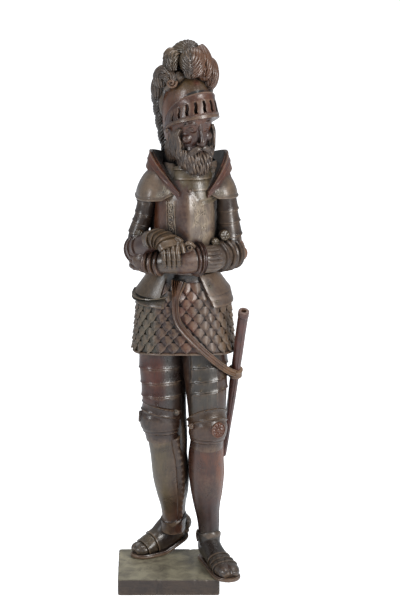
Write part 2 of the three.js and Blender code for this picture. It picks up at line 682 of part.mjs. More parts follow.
function strap() {
  const onSkirt = (x, z, more) => {
    let best = -Math.PI / 2;
    for (const a of spread(-Math.PI, 0, 181)) {
      if (Math.abs(skirtAt(a, z)[0] - x) < Math.abs(skirtAt(best, z)[0] - x)) best = a;
    }
    return [x, skirtAt(best, z, more)[1], z];
  };
  const rows = [
    [13.5, -31, 424],
    [8, -34.5, 412],
    onSkirt(8.5, 392, 4),
    onSkirt(15, 370, 4.5),
    onSkirt(34, 346, 5),
    [59, -34, 320],
    [77, -21, 302],
    [88, -11, 293.5],
  ];
  const outward = (p) => [0.5 * (p.x - SKIRT.x) / 40, -1, 0.15];
  const made = [band(rows, { wide: 9, thick: 4.5, count: 22, outward })];
  made.push(ball([13, -30, 423], [8, 6, 6], { sides: 10, levels: 5 }));
  const start = sheathAt(LOOP - 0.022);
  const end = sheathAt(LOOP + 0.022);
  const half = sheathHalf(LOOP) + 3.6;
  const loop = limb([[...start, half, half], [...end, half, half]], { count: 2, sides: 16 });
  const away = (t, r) => [...sheathAt(t), r, r];
  const bore = limb([away(0, 7.2), away(LOOP, sheathHalf(LOOP) + 0.45), away(1, 5)], { count: 3, sides: 20 });
  return { made, loop, bore };
}

function scabbard() {
  const rows = spread(0, 1, 6).map((t) => [...sheathAt(t), sheathHalf(t), sheathHalf(t)]);
  const body = solid(limb(rows, { count: 7, sides: 16 }));
  const rim = solid(limb([[...sheathAt(0), 7.3, 7.3], [...sheathAt(0.03), 7.3, 7.3]], { count: 2, sides: 16 }));
  const hole = solid(limb([[...sheathAt(-0.05), 3.6, 3.6], [...sheathAt(0.12), 3.4, 3.4]], { count: 2, sides: 12 }));
  return body.add(rim).subtract(hole);
}

function figure() {
  const belt = strap();
  const plain = [
    ...legs(),
    ...feet(),
    ...skirt(),
    ...hips(),
    ...chest(),
    ...arms(),
    ...hands(),
    ...plumes(),
    ...belt.made,
    belt.loop,
  ].map(solid);
  const whole = [...plain, ...head()].reduce((sum, next) => sum.add(next));
  const trimmed = whole.subtract(solid(belt.bore));
  return trimmed.subtract(solid(block([-120, -120, 0], [160, 160, SOLE])));
}

// The faces of a closed mesh without the walls of the hollows that its union shut in.
function openFaces(points, faces) {
  const count = faces.length / 3;
  const parent = Int32Array.from({ length: count }, (_, i) => i);
  const root = (i) => {
    while (parent[i] !== i) {
      parent[i] = parent[parent[i]];
      i = parent[i];
    }
    return i;
  };
  const sides = new Map();
  for (let i = 0; i < faces.length; i++) {
    const from = faces[i];
    const to = faces[i % 3 === 2 ? i - 2 : i + 1];
    const face = Math.floor(i / 3);
    const other = sides.get(to + "," + from);
    if (other !== undefined) parent[root(other)] = root(face);
    else sides.set(from + "," + to, face);
  }
  const volume = new Float64Array(count);
  const corner = (i) => new THREE.Vector3(points[3 * i], points[3 * i + 1], points[3 * i + 2]);
  for (let f = 0; f < count; f++) {
    const [a, b, c] = [0, 1, 2].map((k) => corner(faces[3 * f + k]));
    volume[root(f)] += a.dot(b.cross(c)) / 6;
  }
  return faces.filter((_, i) => volume[root(Math.floor(i / 3))] > 0);
}

// Joins neighbouring points while the surface stays within reach of its faces, flattest places first.
function thinned(points, faces, most, reach) {
  const at = (i) => new THREE.Vector3(points[3 * i], points[3 * i + 1], points[3 * i + 2]);
  const count = points.length / 3;
  const place = Array.from({ length: count }, (_, i) => at(i));
  const live = [];
  for (let i = 0; i < faces.length; i += 3) live.push([faces[i], faces[i + 1], faces[i + 2]]);
  const around = Array.from({ length: count }, () => new Set());
  const planes = Array.from({ length: count }, () => []);
  const normalOf = (a, b, c) => b.clone().sub(a).cross(c.clone().sub(a));
  live.forEach((face, f) => {
    const [a, b, c] = face.map((v) => place[v]);
    const normal = normalOf(a, b, c);
    const area = normal.length() / 2;
    for (const v of face) around[v].add(f);
    if (area < 1e-4) return;
    normal.normalize();
    for (const v of face) planes[v].push([normal, normal.dot(a), area]);
  });
  const miss = (v, p) => {
    let worst = 0;
    for (const [normal, offset] of planes[v]) worst = Math.max(worst, Math.abs(normal.dot(p) - offset));
    return worst;
  };
  const nearby = (v) => new Set([...around[v]].flatMap((f) => live[f]).filter((w) => w !== v));
  let left = live.length;
  for (let round = 0; round < 60 && left > most; round++) {
    const limit = reach * Math.min(1, 0.05 + round / 12);
    const edges = [];
    live.forEach((face) => {
      if (!face) return;
      for (let k = 0; k < 3; k++) {
        const [a, b] = [face[k], face[(k + 1) % 3]];
        if (a > b) continue;
        for (const [stay, go] of [[a, b], [b, a]]) {
          const cost = miss(go, place[stay]);
          if (cost <= limit) edges.push([cost + 0.01 * place[stay].distanceTo(place[go]), stay, go]);
        }
      }
    });
    edges.sort((p, q) => p[0] - q[0]);
    const used = new Set();
    for (const [, stay, go] of edges) {
      if (left <= most) break;
      if (used.has(stay) || used.has(go)) continue;
      const mine = nearby(go);
      const theirs = nearby(stay);
      if ([...mine].filter((v) => theirs.has(v)).length !== 2) continue;
      const moved = [...around[go]].filter((f) => !live[f].includes(stay));
      const folds = moved.some((f) => {
        const before = normalOf(...live[f].map((v) => place[v]));
        const after = normalOf(...live[f].map((v) => place[v === go ? stay : v]));
        const small = after.length() < 0.02 * Math.max(1, before.length());
        return small || before.normalize().dot(after.normalize()) < 0.5;
      });
      if (folds) continue;
      for (const f of [...around[go]]) {
        const shared = live[f].includes(stay);
        for (const v of live[f]) if (shared) around[v].delete(f);
        if (shared) {
          live[f] = null;
          left -= 1;
        } else {
          live[f] = live[f].map((v) => (v === go ? stay : v));
          around[stay].add(f);
        }
      }
      around[go].clear();
      planes[stay].push(...planes[go].filter((plane) => plane[2] > 0.2));
      for (const v of [...mine, ...theirs]) used.add(v);
    }
  }
  return live.filter(Boolean).flat();
}

function geometryOf(manifold, most = 1e6) {
  const mesh = manifold.getMesh();
  const geometry = new THREE.BufferGeometry();
  const points = new Float32Array((mesh.vertProperties.length / mesh.numProp) * 3);
  for (let i = 0; i < points.length / 3; i++) {
    points.set(mesh.vertProperties.slice(i * mesh.numProp, i * mesh.numProp + 3), i * 3);
  }
  geometry.setAttribute("position", new THREE.BufferAttribute(points, 3));
  const faces = openFaces(points, [...mesh.triVerts]);
  geometry.setIndex(faces.length / 3 > most ? thinned(points, faces, most, REACH) : faces);
  return mergeVertices(geometry, 1e-3);
}

const group = new THREE.Group();
function show(name, manifold, material, most) {
  const mesh = new THREE.Mesh(geometryOf(manifold, most), material);
  mesh.name = name;
  group.add(mesh);
}

const walnut = new THREE.MeshStandardMaterial({ name: "dark_walnut", color: 0x4a2e20, roughness: 0.42 });
const base = new THREE.MeshStandardMaterial({ name: "plinth_wood", color: 0x423a30, roughness: 0.7 });

const [long, deep, tall] = PLINTH;
show("knight_figure", figure(), walnut, MOST_FACES);
show("scabbard", scabbard(), walnut);
show("plinth", solid(block([-long / 2, -deep / 2, 0], [long / 2, deep / 2, tall])), base);

export default group;
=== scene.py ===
"""A carved walnut statue of a knight in armour on its plinth.

Lengths are millimetres until a mesh is made. The statue faces -Y and left and right are its own sides.
"""

import math

import bpy
import numpy as np
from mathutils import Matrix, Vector
from mathutils.bvhtree import BVHTree
from mathutils.kdtree import KDTree
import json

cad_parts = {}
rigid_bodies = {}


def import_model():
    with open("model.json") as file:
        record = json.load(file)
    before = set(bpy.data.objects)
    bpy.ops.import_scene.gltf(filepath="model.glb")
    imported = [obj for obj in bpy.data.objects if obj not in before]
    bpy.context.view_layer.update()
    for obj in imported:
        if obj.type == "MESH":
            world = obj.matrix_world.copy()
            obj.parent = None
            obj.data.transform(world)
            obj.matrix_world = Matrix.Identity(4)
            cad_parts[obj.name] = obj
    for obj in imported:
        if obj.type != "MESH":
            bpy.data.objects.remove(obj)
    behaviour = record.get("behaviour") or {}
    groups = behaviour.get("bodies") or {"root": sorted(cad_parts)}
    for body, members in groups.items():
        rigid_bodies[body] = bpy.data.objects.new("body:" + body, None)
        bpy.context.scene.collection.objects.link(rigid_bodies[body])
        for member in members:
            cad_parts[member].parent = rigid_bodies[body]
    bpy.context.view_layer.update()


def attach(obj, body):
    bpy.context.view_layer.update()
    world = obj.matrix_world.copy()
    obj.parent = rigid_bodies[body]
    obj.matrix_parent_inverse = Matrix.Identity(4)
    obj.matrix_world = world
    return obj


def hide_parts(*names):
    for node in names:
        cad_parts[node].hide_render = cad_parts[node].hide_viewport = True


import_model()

MM = 0.001
TURN = 2 * math.pi
DETAIL = 1.0
FIGURE_TRIANGLES = 194000

PLINTH = (134, 110, 22)
SOLE = PLINTH[2] + 0.3
CHEST = {"at": (24.5, 2, 0), "turn": 7}
HEAD = {"at": (26, 4, 0), "turn": 28}
LEFT_FRONT = (0.34, -0.94, 0)
RIGHT_FRONT = (-0.76, -0.65, 0)
UP = (0, 0, 1)


# Shapes. A shape is a pair: its points and its triangles.


def unit(v):
    return v / np.maximum(1e-9, np.linalg.norm(v, axis=-1, keepdims=True))


def through(rows, t):
    """Smooth values through rows of numbers, at t from 0 to the last row."""
    rows = np.asarray(rows, float)
    t = np.asarray(t, float)
    last = len(rows) - 1
    i = np.clip(np.floor(t).astype(int), 0, last - 1)
    f = (t - i)[..., None]
    a, b, c, d = (rows[np.clip(i + k, 0, last)] for k in (-1, 0, 1, 2))
    curve = (2 * a - 5 * b + 4 * c - d) * f**2 + (3 * b - a - 3 * c + d) * f**3
    return b + 0.5 * ((c - a) * f + curve)


def facing_out(points, faces):
    a, b, c = (points[faces[:, k]] for k in range(3))
    volume = (a * np.cross(b, c)).sum()
    return (points, faces[:, ::-1] if volume < 0 else faces)


def skin(rings):
    """A closed shape over rings of equal length; both ends close on their middle."""
    rings = np.asarray(rings, float)
    m, n, _ = rings.shape
    points = rings.reshape(-1, 3)
    k, i = np.meshgrid(np.arange(m - 1), np.arange(n), indexing="ij")
    a = (k * n + i).ravel()
    b = (k * n + (i + 1) % n).ravel()
    faces = [np.stack([a, b, b + n], 1), np.stack([a, b + n, a + n], 1)]
    i = np.arange(n)
    for first, middle, turn in ((0, m * n, True), ((m - 1) * n, m * n + 1, False)):
        a, b = first + i, first + (i + 1) % n
        ends = (b, a) if turn else (a, b)
        faces.append(np.stack([*ends, np.full(n, middle)], 1))
    points = np.vstack([points, rings[0].mean(0), rings[-1].mean(0)])
    return facing_out(points, np.vstack(faces))


def looped(rings):
    """A closed shape over rings that meet end to end, such as a hoop."""
    rings = np.asarray(rings, float)
    m, n, _ = rings.shape
    k, i = np.meshgrid(np.arange(m), np.arange(n), indexing="ij")
    a, b = (k * n + i).ravel(), (k * n + (i + 1) % n).ravel()
    c = ((k + 1) % m * n + (i + 1) % n).ravel()
    d = ((k + 1) % m * n + i).ravel()
    faces = np.vstack([np.stack([a, b, c], 1), np.stack([a, c, d], 1)])
    return facing_out(rings.reshape(-1, 3), faces)


def rotation(turn=0, nod=0, roll=0):
    """Tips about X by nod, then about Y by roll, then about Z by turn, in degrees."""
    t, n, r = (math.radians(v) for v in (turn, nod, roll))
    z = np.array([[math.cos(t), -math.sin(t), 0], [math.sin(t), math.cos(t), 0], [0, 0, 1]])
    y = np.array([[math.cos(r), 0, math.sin(r)], [0, 1, 0], [-math.sin(r), 0, math.cos(r)]])
    x = np.array([[1, 0, 0], [0, math.cos(n), -math.sin(n)], [0, math.sin(n), math.cos(n)]])
    return z @ y @ x


def placed(shape, at=(0, 0, 0), turn=0, nod=0, roll=0):
    return (shape[0] @ rotation(turn, nod, roll).T + np.asarray(at, float), shape[1])


def put(points, frame_of):
    """Points given in the frame of the chest or the head, in the frame of the statue."""
    return np.asarray(points, float) @ rotation(frame_of["turn"]).T + np.asarray(frame_of["at"], float)


def limb_at(rows, front=(0, -1, 0), power=2.0, relief=None):
    """The surface of a limb through rows of x, y, z, half width, half depth, at t and an angle.

    At a quarter turn the surface faces front. Relief adds to both half sizes.
    """
    rows = np.asarray(rows, float)
    last = len(rows) - 1
    front = np.asarray(front, float)

    def at(t, angle, more=0.0):
        t, angle = np.broadcast_arrays(np.asarray(t, float), np.asarray(angle, float))
        here = through(rows, t)
        ahead_row = through(rows, np.minimum(last, t + 0.05))
        behind_row = through(rows, np.maximum(0, t - 0.05))
        along = unit((ahead_row - behind_row)[..., :3])
        across = unit(np.cross(front, along))
        ahead = np.cross(along, across)
        c, s = np.cos(angle), np.sin(angle)
        rounded = (abs(c) ** power + abs(s) ** power) ** (-1 / power)

        def reach(extra):
            u = (c * rounded * (here[..., 3] + extra))[..., None] * across
            v = (s * rounded * (here[..., 4] + extra))[..., None] * ahead
            return here[..., :3] + u + v

        extra = np.zeros_like(t) + more
        if relief:
            extra = extra + relief(t, angle, reach(0.0))
        return reach(extra)

    at.rows = rows
    at.last = last
    at.step = np.linalg.norm(np.diff(rows[:, :3], axis=0), axis=1).mean()
    return at


def levels(last, count, stops=(), step=20.0):
    """Places along a limb, close together on both sides of every stop."""
    near = np.array([-4, -2.4, -1.5, -0.8, -0.1, 0.1, 0.9, 1.8, 3.2]) / step
    ts = np.linspace(0, last, max(3, round(count * DETAIL)))
    for stop in stops:
        ts = ts[abs(ts - stop) > 3.4 / step]
    extra = [stop + near for stop in stops]
    ts = np.unique(np.concatenate([ts, *extra])) if extra else ts
    return ts[(ts >= 0) & (ts <= last)]


def around(sides):
    n = max(5, round(sides * DETAIL))
    return TURN * (np.arange(n) + 0.5) / n


def limb(rows, front=(0, -1, 0), sides=32, count=20, stops=(), power=2.0, relief=None):
    at = limb_at(rows, front, power, relief)
    ts = levels(at.last, count, stops, at.step)
    return skin(at(ts[:, None], around(sides)[None, :]))


def lames(rows, stops, rise=1.2, sink=0.9, mask=None, tilt=0.0, middle=0.0):
    """Plates that overlap along a limb: each swells to a rounded edge, and the next starts lower.

    Tilt raises the edges towards +X, in mm for each mm away from the middle.
    """
    points = np.asarray(rows, float)[:, :3]
    step = np.linalg.norm(np.diff(points, axis=0), axis=1).mean()
    stops = np.asarray(sorted(stops), float)

    def relief(t, angle, p):
        t = t + tilt * (p[..., 0] - middle) / step
        k = np.searchsorted(stops, t, side="right")
        upper = np.where(k > 0, stops[np.maximum(k - 1, 0)], -99.0)
        lower = np.where(k < len(stops), stops[np.minimum(k, len(stops) - 1)], 99.0)
        left, gone = (lower - t) * step, (t - upper) * step
        lip = rise * np.exp(-left / 6.0) + 0.4 * np.exp(-(((left - 0.8) / 0.8) ** 2))
        value = lip - sink * np.exp(-gone / 1.3)
        return value * mask(p) if mask else value

    return relief


def total(*parts):
    return lambda t, angle, p: sum(part(t, angle, p) for part in parts)


def bump(x, wide):
    return np.exp(-((x / wide) ** 2))


def smooth(x, low, high):
    f = np.clip((x - low) / (high - low), 0, 1)
    return f * f * (3 - 2 * f)


def ball(centre, radii, sides=24, high=12, turn=0, nod=0, roll=0, relief=None):
    v = np.linspace(0.04, 0.96, max(5, round(high * DETAIL)))[:, None]
    n = max(8, round(sides * DETAIL))
    angle = (TURN * np.arange(n) / n)[None, :]
    lift = math.pi * (v - 0.5)
    r = 1 + (relief(angle, v) if relief else 0)
    rings = np.stack(
        np.broadcast_arrays(
            radii[0] * np.cos(lift) * np.cos(angle) * r,
            radii[1] * np.cos(lift) * np.sin(angle) * r,
            radii[2] * np.sin(lift) * r,
        ),
        -1,
    )
    return skin(rings @ rotation(turn, nod, roll).T + np.asarray(centre, float))


def plate(outer, inner, across, along):
    """A plate between an outer and an inner face, both given over u and v from 0 to 1."""
    u = np.linspace(0, 1, max(4, round(across * DETAIL)) + 1)[None, :]
    v = np.linspace(0, 1, max(1, round(along * DETAIL)) + 1)[:, None]
    return skin(np.concatenate([outer(u, v), inner(u[:, ::-1], v)], 1))


def block(low, high):
    def ring(z):
        return [(low[0], low[1], z), (high[0], low[1], z), (high[0], high[1], z), (low[0], high[1], z)]

    return skin([ring(low[2]), ring(high[2])])


def hoop(radius, thick, sides=22, flat=1.0):
    a = (TURN * np.arange(sides) / sides)[:, None]
    b = (TURN * np.arange(7) / 7)[None, :]
    r = radius + thick * np.cos(b)
    return looped(np.stack(np.broadcast_arrays(r * np.cos(a), r * np.sin(a), flat * thick * np.sin(b)), -1))


def stud(radius, high, sides=12):
    """A round nail head that stands on +Z."""
    a = TURN * np.arange(sides) / sides
    rows = [(1.0, -1.5), (1.0, 0.1), (0.85, 0.55 * high), (0.5, 0.9 * high), (0.15, high)]
    return skin([[(radius * r * math.cos(b), radius * r * math.sin(b), z) for b in a] for r, z in rows])


def rosette(radius, petals, high, deep=3.0, sides=72):
    """A carved flower in a raised rim, with a round eye."""
    a = (TURN * np.arange(sides) / sides)[None, :]
    r = np.array([1.0, 0.97, 0.9, 0.84, 0.78, 0.68, 0.56, 0.44, 0.34, 0.3, 0.22, 0.08])[:, None]
    petal = abs(np.cos(petals * a / 2)) ** 0.7 * np.sin(math.pi * np.clip((r - 0.28) / 0.56, 0, 1)) ** 0.7
    rim = bump(r - 0.92, 0.07)
    eye = np.clip(1 - (r / 0.3) ** 2, 0, 1) ** 0.5
    z = high * (0.62 * petal + 0.75 * rim + 0.7 * eye)
    rings = np.stack(np.broadcast_arrays(radius * r * np.cos(a), radius * r * np.sin(a), z), -1)
    return skin(np.concatenate([rings[:1] - (0, 0, deep), rings]))


def seat(shape, at, t, angle, sink=0.2, spin=0.0, more=0.0):
    """A small shape set on a surface, with its own +Z outwards."""
    here = at(t, angle, more)
    down = at(t + 0.02, angle, more) - at(t - 0.02, angle, more)
    side = at(t, angle + 0.02, more) - at(t, angle - 0.02, more)
    out = unit(np.cross(side, down))
    if (out * (here - through(at.rows, t)[:3])).sum() < 0:
        out = -out
    y = unit(-down)
    x = np.cross(y, out)
    points = placed(shape, turn=spin)[0]
    return (points @ np.stack([x, y, out]) + here - sink * out, shape[1])


def thread(points, radius, sides=6, taper=None):
    """A thin round line through points, thinner towards its ends where taper says so."""
    points = np.asarray(points, float)
    n = len(points)
    along = unit(np.gradient(points, axis=0))
    guide = np.array([0.31, 0.23, 0.92])
    across = unit(np.cross(along, guide))
    ahead = np.cross(along, across)
    a = TURN * np.arange(sides) / sides
    thick = radius * (np.ones(n) if taper is None else taper(np.linspace(0, 1, n)))
    ring = np.cos(a)[None, :, None] * across[:, None] + np.sin(a)[None, :, None] * ahead[:, None]
    return skin(points[:, None] + thick[:, None, None] * ring)


def scroll(size, turns, hand=1, stem=1.2):
    """Points of a flat scroll in x and y: a stem that rolls up into a spiral."""
    count = max(16, round(18 * turns))
    k = np.linspace(0, 1, count)
    angle = hand * TURN * turns * k
    r = size * (1 - 0.88 * k)
    curl = np.stack([r * np.cos(angle), r * np.sin(angle)], 1)
    root = np.array([[size, -hand * size * stem * f] for f in (1.0, 0.75, 0.5, 0.25)])
    return np.concatenate([root, curl])


def engraved(at, t, angle, path, wide, thick=0.55, lift=0.1, spin=0.0):
    """A thread laid on a surface along a flat path of x and y in mm. Wide is mm for each radian."""
    c, s = math.cos(math.radians(spin)), math.sin(math.radians(spin))
    x = c * path[:, 0] - s * path[:, 1]
    y = s * path[:, 0] + c * path[:, 1]
    return thread(at(t - y / at.step, angle + x / wide, lift), thick, taper=lambda k: 0.5 + 0.5 * np.sin(math.pi * k) ** 0.4)


# The carving: closed shells of one block of wood, each with the stain it is finished in; the near-black fillers among
# them are painted shade, and some stains carry a painted highlight.


class Block:
    def __init__(self):
        self.shells = []
        self.stains = []
        self.cuts = []

    def add(self, stain, *shapes):
        for shape in shapes:
            self.shells.append(shape)
            self.stains.append(stain)

    def cut(self, *shapes):
        self.cuts.extend(shapes)


def mesh_of(name, points, faces):
    mesh = bpy.data.meshes.new(name)
    mesh.from_pydata((points * MM).tolist(), [], faces.tolist())
    mesh.validate()
    return mesh


def helper(name, shape, home):
    made = bpy.data.objects.new(name, mesh_of(name, *shape))
    home.objects.link(made)
    return made


def arrays(mesh):
    points = np.empty(len(mesh.vertices) * 3)
    mesh.vertices.foreach_get("co", points)
    mesh.calc_loop_triangles()
    faces = np.empty(len(mesh.loop_triangles) * 3, int)
    mesh.loop_triangles.foreach_get("vertices", faces)
    return points.reshape(-1, 3) / MM, faces.reshape(-1, 3)


def combined(base, others, operation):
    """The base shape joined with, or cut by, all the others."""
    home = bpy.data.collections.new("workshop")
    bpy.context.scene.collection.children.link(home)
    tools = bpy.data.collections.new("workshop_tools")
    bpy.context.scene.collection.children.link(tools)
    body = helper("workshop_body", base, home)
    for shape in others:
        helper("workshop_tool", shape, tools)
    join = body.modifiers.new("join", "BOOLEAN")
    join.operation = operation
    join.solver = "MANIFOLD"
    join.operand_type = "COLLECTION"
    join.collection = tools
    ready = body.evaluated_get(bpy.context.evaluated_depsgraph_get())
    mesh = bpy.data.meshes.new_from_object(ready)
    result = arrays(mesh)
    for group in (home, tools):
        for made in list(group.objects):
            old = made.data
            bpy.data.objects.remove(made)
            bpy.data.meshes.remove(old)
        bpy.data.collections.remove(group)
    bpy.data.meshes.remove(mesh)
    return result


def modified(shape, *settings):
    """A shape after Blender modifiers, each given as its type and its values."""
    home = bpy.data.collections.new("workshop")
    bpy.context.scene.collection.children.link(home)
    body = helper("workshop_body", shape, home)
    for kind, values in settings:
        step = body.modifiers.new(kind.lower(), kind)
        for key, value in values.items():
            setattr(step, key, value)
    ready = body.evaluated_get(bpy.context.evaluated_depsgraph_get())
    mesh = bpy.data.meshes.new_from_object(ready)
    result = arrays(mesh)
    old = body.data
    bpy.data.objects.remove(body)
    bpy.data.meshes.remove(old)
    bpy.data.meshes.remove(mesh)
    bpy.data.collections.remove(home)
    return result


def blended(shapes, voxel, passes=2):
    """Overlapping shapes run together into one soft form."""
    start = 0
    faces = []
    for points, triangles in shapes:
        faces.append(triangles + start)
        start += len(points)
    whole = (np.vstack([points for points, _ in shapes]), np.vstack(faces))
    remesh = {"mode": "VOXEL", "voxel_size": voxel * MM, "adaptivity": 0.0}
    return modified(whole, ("REMESH", remesh), ("SMOOTH", {"factor": 0.5, "iterations": passes}))


# Stains, as colours between 0 and 1 in the way that a screen shows them.


def shade(red, green, blue):
    value = np.array([red, green, blue], float)
    return np.where(value <= 0.04045, value / 12.92, ((value + 0.055) / 1.055) ** 2.4)


def even(red, green, blue):
    colour = shade(red, green, blue)
    return lambda p: np.broadcast_to(colour, p.shape)


def between(first, second, mask):
    """One stain where the mask is 0 and another where it is 1."""

    def stain(p):
        f = np.clip(mask(p), 0, 1)[:, None]
        return first(p) * (1 - f) + second(p) * f

    return stain


def patch(centre, radius):
    centre = np.asarray(centre, float)
    return lambda p: np.exp(-((np.linalg.norm(p - centre, axis=1) / radius) ** 2))


ORANGE = even(0.44, 0.25, 0.12)
RED = even(0.27, 0.13, 0.09)
PURPLE = even(0.23, 0.145, 0.13)
BROWN = even(0.24, 0.16, 0.115)
OLIVE = even(0.29, 0.25, 0.165)
SLATE = even(0.21, 0.20, 0.185)
PALE = even(0.42, 0.38, 0.345)
DUSTY = even(0.32, 0.285, 0.21)
DARK = even(0.13, 0.095, 0.08)
# Near black, for fillers in gaps and behind parts where there is only shade: painted shade.
PAINTED_SHADE = even(0.035, 0.028, 0.024)
TAN = even(0.37, 0.27, 0.17)


# Legs. The left one carries the weight; the right one is set back with its heel off the ground.


LEFT_THIGH = [
    (45, 9, 350, 30, 32),
    (46.3, 4, 312, 29.5, 31),
    (47.2, 1, 292, 28.6, 30),
    (48.3, -1, 272, 27, 28.5),
    (49.3, -4, 250, 25.2, 26.5),
    (50, -5, 228, 24, 25),
]
RIGHT_THIGH = [
    (-9, 12, 350, 27, 31),
    (-9, 9, 314, 26.5, 30.5),
    (-9, 7, 298, 26, 30),
    (-8.2, 4, 278, 25, 28.5),
    (-7.6, 2, 256, 24, 28),
    (-7, 1, 228, 24, 27),
]
LEFT_GREAVE = [
    (50.1, -3, 206, 22, 23),
    (49.4, 2, 186, 22.4, 24),
    (49, 6, 168, 23, 25),
    (49.4, 9, 149, 23, 25),
    (49.6, 12, 124, 20.6, 22.5),
    (50, 14, 103, 17, 19),
    (51.7, 16, 83, 14.4, 16),
    (53.3, 17, 60, 13.4, 14.5),
    (53.5, 17, 46, 13.6, 15),
]
RIGHT_GREAVE = [
    (-4, 3, 206, 21, 25.5),
    (-2, 7, 190, 20.5, 25),
    (1, 11, 169, 21.5, 25.5),
    (3.2, 17, 144, 21, 25.5),
    (5.4, 24, 118, 18.4, 22.5),
    (6, 29, 100, 15.2, 18.5),
    (6.4, 33, 85, 14, 16.5),
    (6.5, 36, 66, 13.4, 15.5),
    (6.5, 37, 56, 13, 15),
]


def thighs(wood):
    left_stops = (1.43, 2.35, 3.15)

    def outer_side(p):
        return smooth(p[..., 0] - 0.2 * (p[..., 1] + 33), 26.5, 28.2)

    def strip(t, angle, p):
        return 1.7 * outer_side(p) - 0.8 + 0.7 * bump(p[..., 0] - 63.5, 0.9) * (p[..., 1] < 0)

    relief = total(lames(LEFT_THIGH, left_stops, 1.5, 1.3, outer_side, 0.07, 46), strip)
    options = {"front": LEFT_FRONT, "relief": relief}
    at = limb_at(LEFT_THIGH, **options)
    slate = between(SLATE, BROWN, lambda p: smooth(p[:, 0], 58, 72))
    slate = between(BROWN, slate, lambda p: smooth(p[:, 0], 26, 30))
    wood.add(slate, limb(LEFT_THIGH, sides=120, count=60, stops=left_stops, **options))
    for t in (1.25, 2.17, 2.97):
        for angle in (1.02, 2.15):
            wood.add(OLIVE, seat(stud(1.3, 0.8), at, t, angle))
    for x, z in ((19.5, 309), (21.5, 303), (24.5, 299), (22, 290), (26, 284), (27.5, 268.5), (25, 262)):
        wood.cut(limb([(x, -60, z, 1.1, 1.1), (x, -17, z, 1.0, 1.0)], front=UP, sides=10, count=2))

    right_stops = (2.0, 2.94, 3.75)
    relief = lames(RIGHT_THIGH, right_stops, 1.2, 1.0)
    options = {"front": RIGHT_FRONT, "relief": relief}
    at = limb_at(RIGHT_THIGH, **options)
    # The right thigh darkens towards its inner side, by the other leg: painted shade.
    dark_red = between(RED, DARK, lambda p: smooth(p[:, 0], -12, 2))
    wood.add(dark_red, limb(RIGHT_THIGH, sides=90, count=30, stops=right_stops, **options))
    for t in (1.2, 1.85, 2.3, 2.8, 3.25, 3.6):
        wood.add(SLATE, seat(stud(1.2, 0.7), at, t, 0.36))
    # The inner side of the right leg fills the gap between the two, painted near black as the shade between the legs.
    inner = [(10, 13, 345, 13, 16), (12, 10, 280, 11, 15), (14, 8, 235, 9.5, 15), (15, 9, 200, 10, 15), (14, 13, 165, 10, 14)]
    wood.add(PAINTED_SHADE, limb(inner, sides=36, count=14))


def knee(wood, centre, front, size, top_line, second_line, flower, stains):
    """A knee cup: an arched band between two raised rims, then a swelling with a flower on its side."""
    x, y, z = centre
    stain, flower_stain = stains
    rows = [
        (x - front[0], y - front[1], z + 40 * size, 23.6 * size, 24 * size),
        (x, y, z + 22 * size, 24.4 * size, 25.4 * size),
        (x + 1.5 * front[0], y + 1.5 * front[1], z + 9 * size, 24.6 * size, 26.4 * size),
        (x + 2.5 * front[0], y + 2.5 * front[1], z - 2 * size, 24.2 * size, 26.8 * size),
        (x + 1.5 * front[0], y + 1.5 * front[1], z - 14 * size, 22.6 * size, 24.6 * size),
        (x, y, z - 28 * size, 21.6 * size, 22.8 * size),
    ]

    def relief(t, angle, p):
        ahead = np.sin(angle)
        s = p[..., 2] - z
        top = s - top_line[0] - top_line[1] * ahead
        second = s - second_line[0] - second_line[1] * ahead
        bottom = s + 16.5 * size
        value = 1.7 * bump(top + 0.4, 1.3) + 1.5 * bump(second, 1.2)
        value += 0.5 * (top < 0) * (second > 0)
        value -= 5.5 * smooth(top, 0.8, 3)
        value += 1.3 * smooth(-second, 2, 9) * smooth(bottom, 0, 8)
        value += 0.7 * bump(bottom, 1.1) - 1.2 * smooth(-bottom, 0.3, 1.8)
        value += 0.35 * bump(bottom - 5.5, 0.9)
        return value

    options = {"front": front, "relief": relief}
    at = limb_at(rows, **options)
    wood.add(stain, limb(rows, sides=110, count=76, **options))
    radius, t, angle = flower
    wood.add(flower_stain, seat(rosette(radius, 10, 2.4), at, t, angle, sink=0.4))
    return at


def greaves(wood):
    def left_seams(t, angle, p):
        ahead = p[..., 1] < 14
        value = -1.2 * bump(p[..., 0] - 28.4 - 0.02 * (150 - p[..., 2]), 0.9) * ahead
        value = value + 0.9 * bump(angle - 0.55, 0.035) - 0.7 * bump(angle - 0.45, 0.03)
        return value * smooth(p[..., 2], 60, 80)

    options = {"front": LEFT_FRONT, "relief": left_seams}
    amber = between(PURPLE, ORANGE, lambda p: 0.75 * smooth(p[:, 0] + 0.1 * (p[:, 2] - 150), 60, 68))
    amber = between(amber, DARK, lambda p: 0.6 * (1 - smooth(p[:, 2], 60, 110)))
    amber = between(amber, ORANGE, lambda p: 0.5 * smooth(p[:, 2], 120, 190) * bump(p[:, 0] - 42, 14))
    wood.add(amber, limb(LEFT_GREAVE, sides=120, count=50, **options))

    def lacing(t, angle, p):
        side = bump(angle + 0.12, 0.14) + bump(angle - TURN + 0.12, 0.14)
        crease = bump(angle - 0.2, 0.05)
        waves = 0.5 + 0.5 * np.cos(TURN * p[..., 2] / 9.2)
        return side * (0.5 + 1.3 * waves) - 1.0 * crease

    options = {"front": RIGHT_FRONT, "relief": lacing}
    olive = between(DUSTY, BROWN, lambda p: 0.85 * smooth(p[:, 0], -6, 10))
    # The upper shin darkens towards its inner side, by the other leg: painted shade.
    olive = between(olive, DARK, lambda p: 0.7 * smooth(p[:, 0], 8, 18) * smooth(p[:, 2], 120, 170))
    olive = between(olive, RED, lambda p: 0.5 * (1 - smooth(p[:, 2], 70, 120)))
    wood.add(olive, limb(RIGHT_GREAVE, sides=104, count=70, **options))


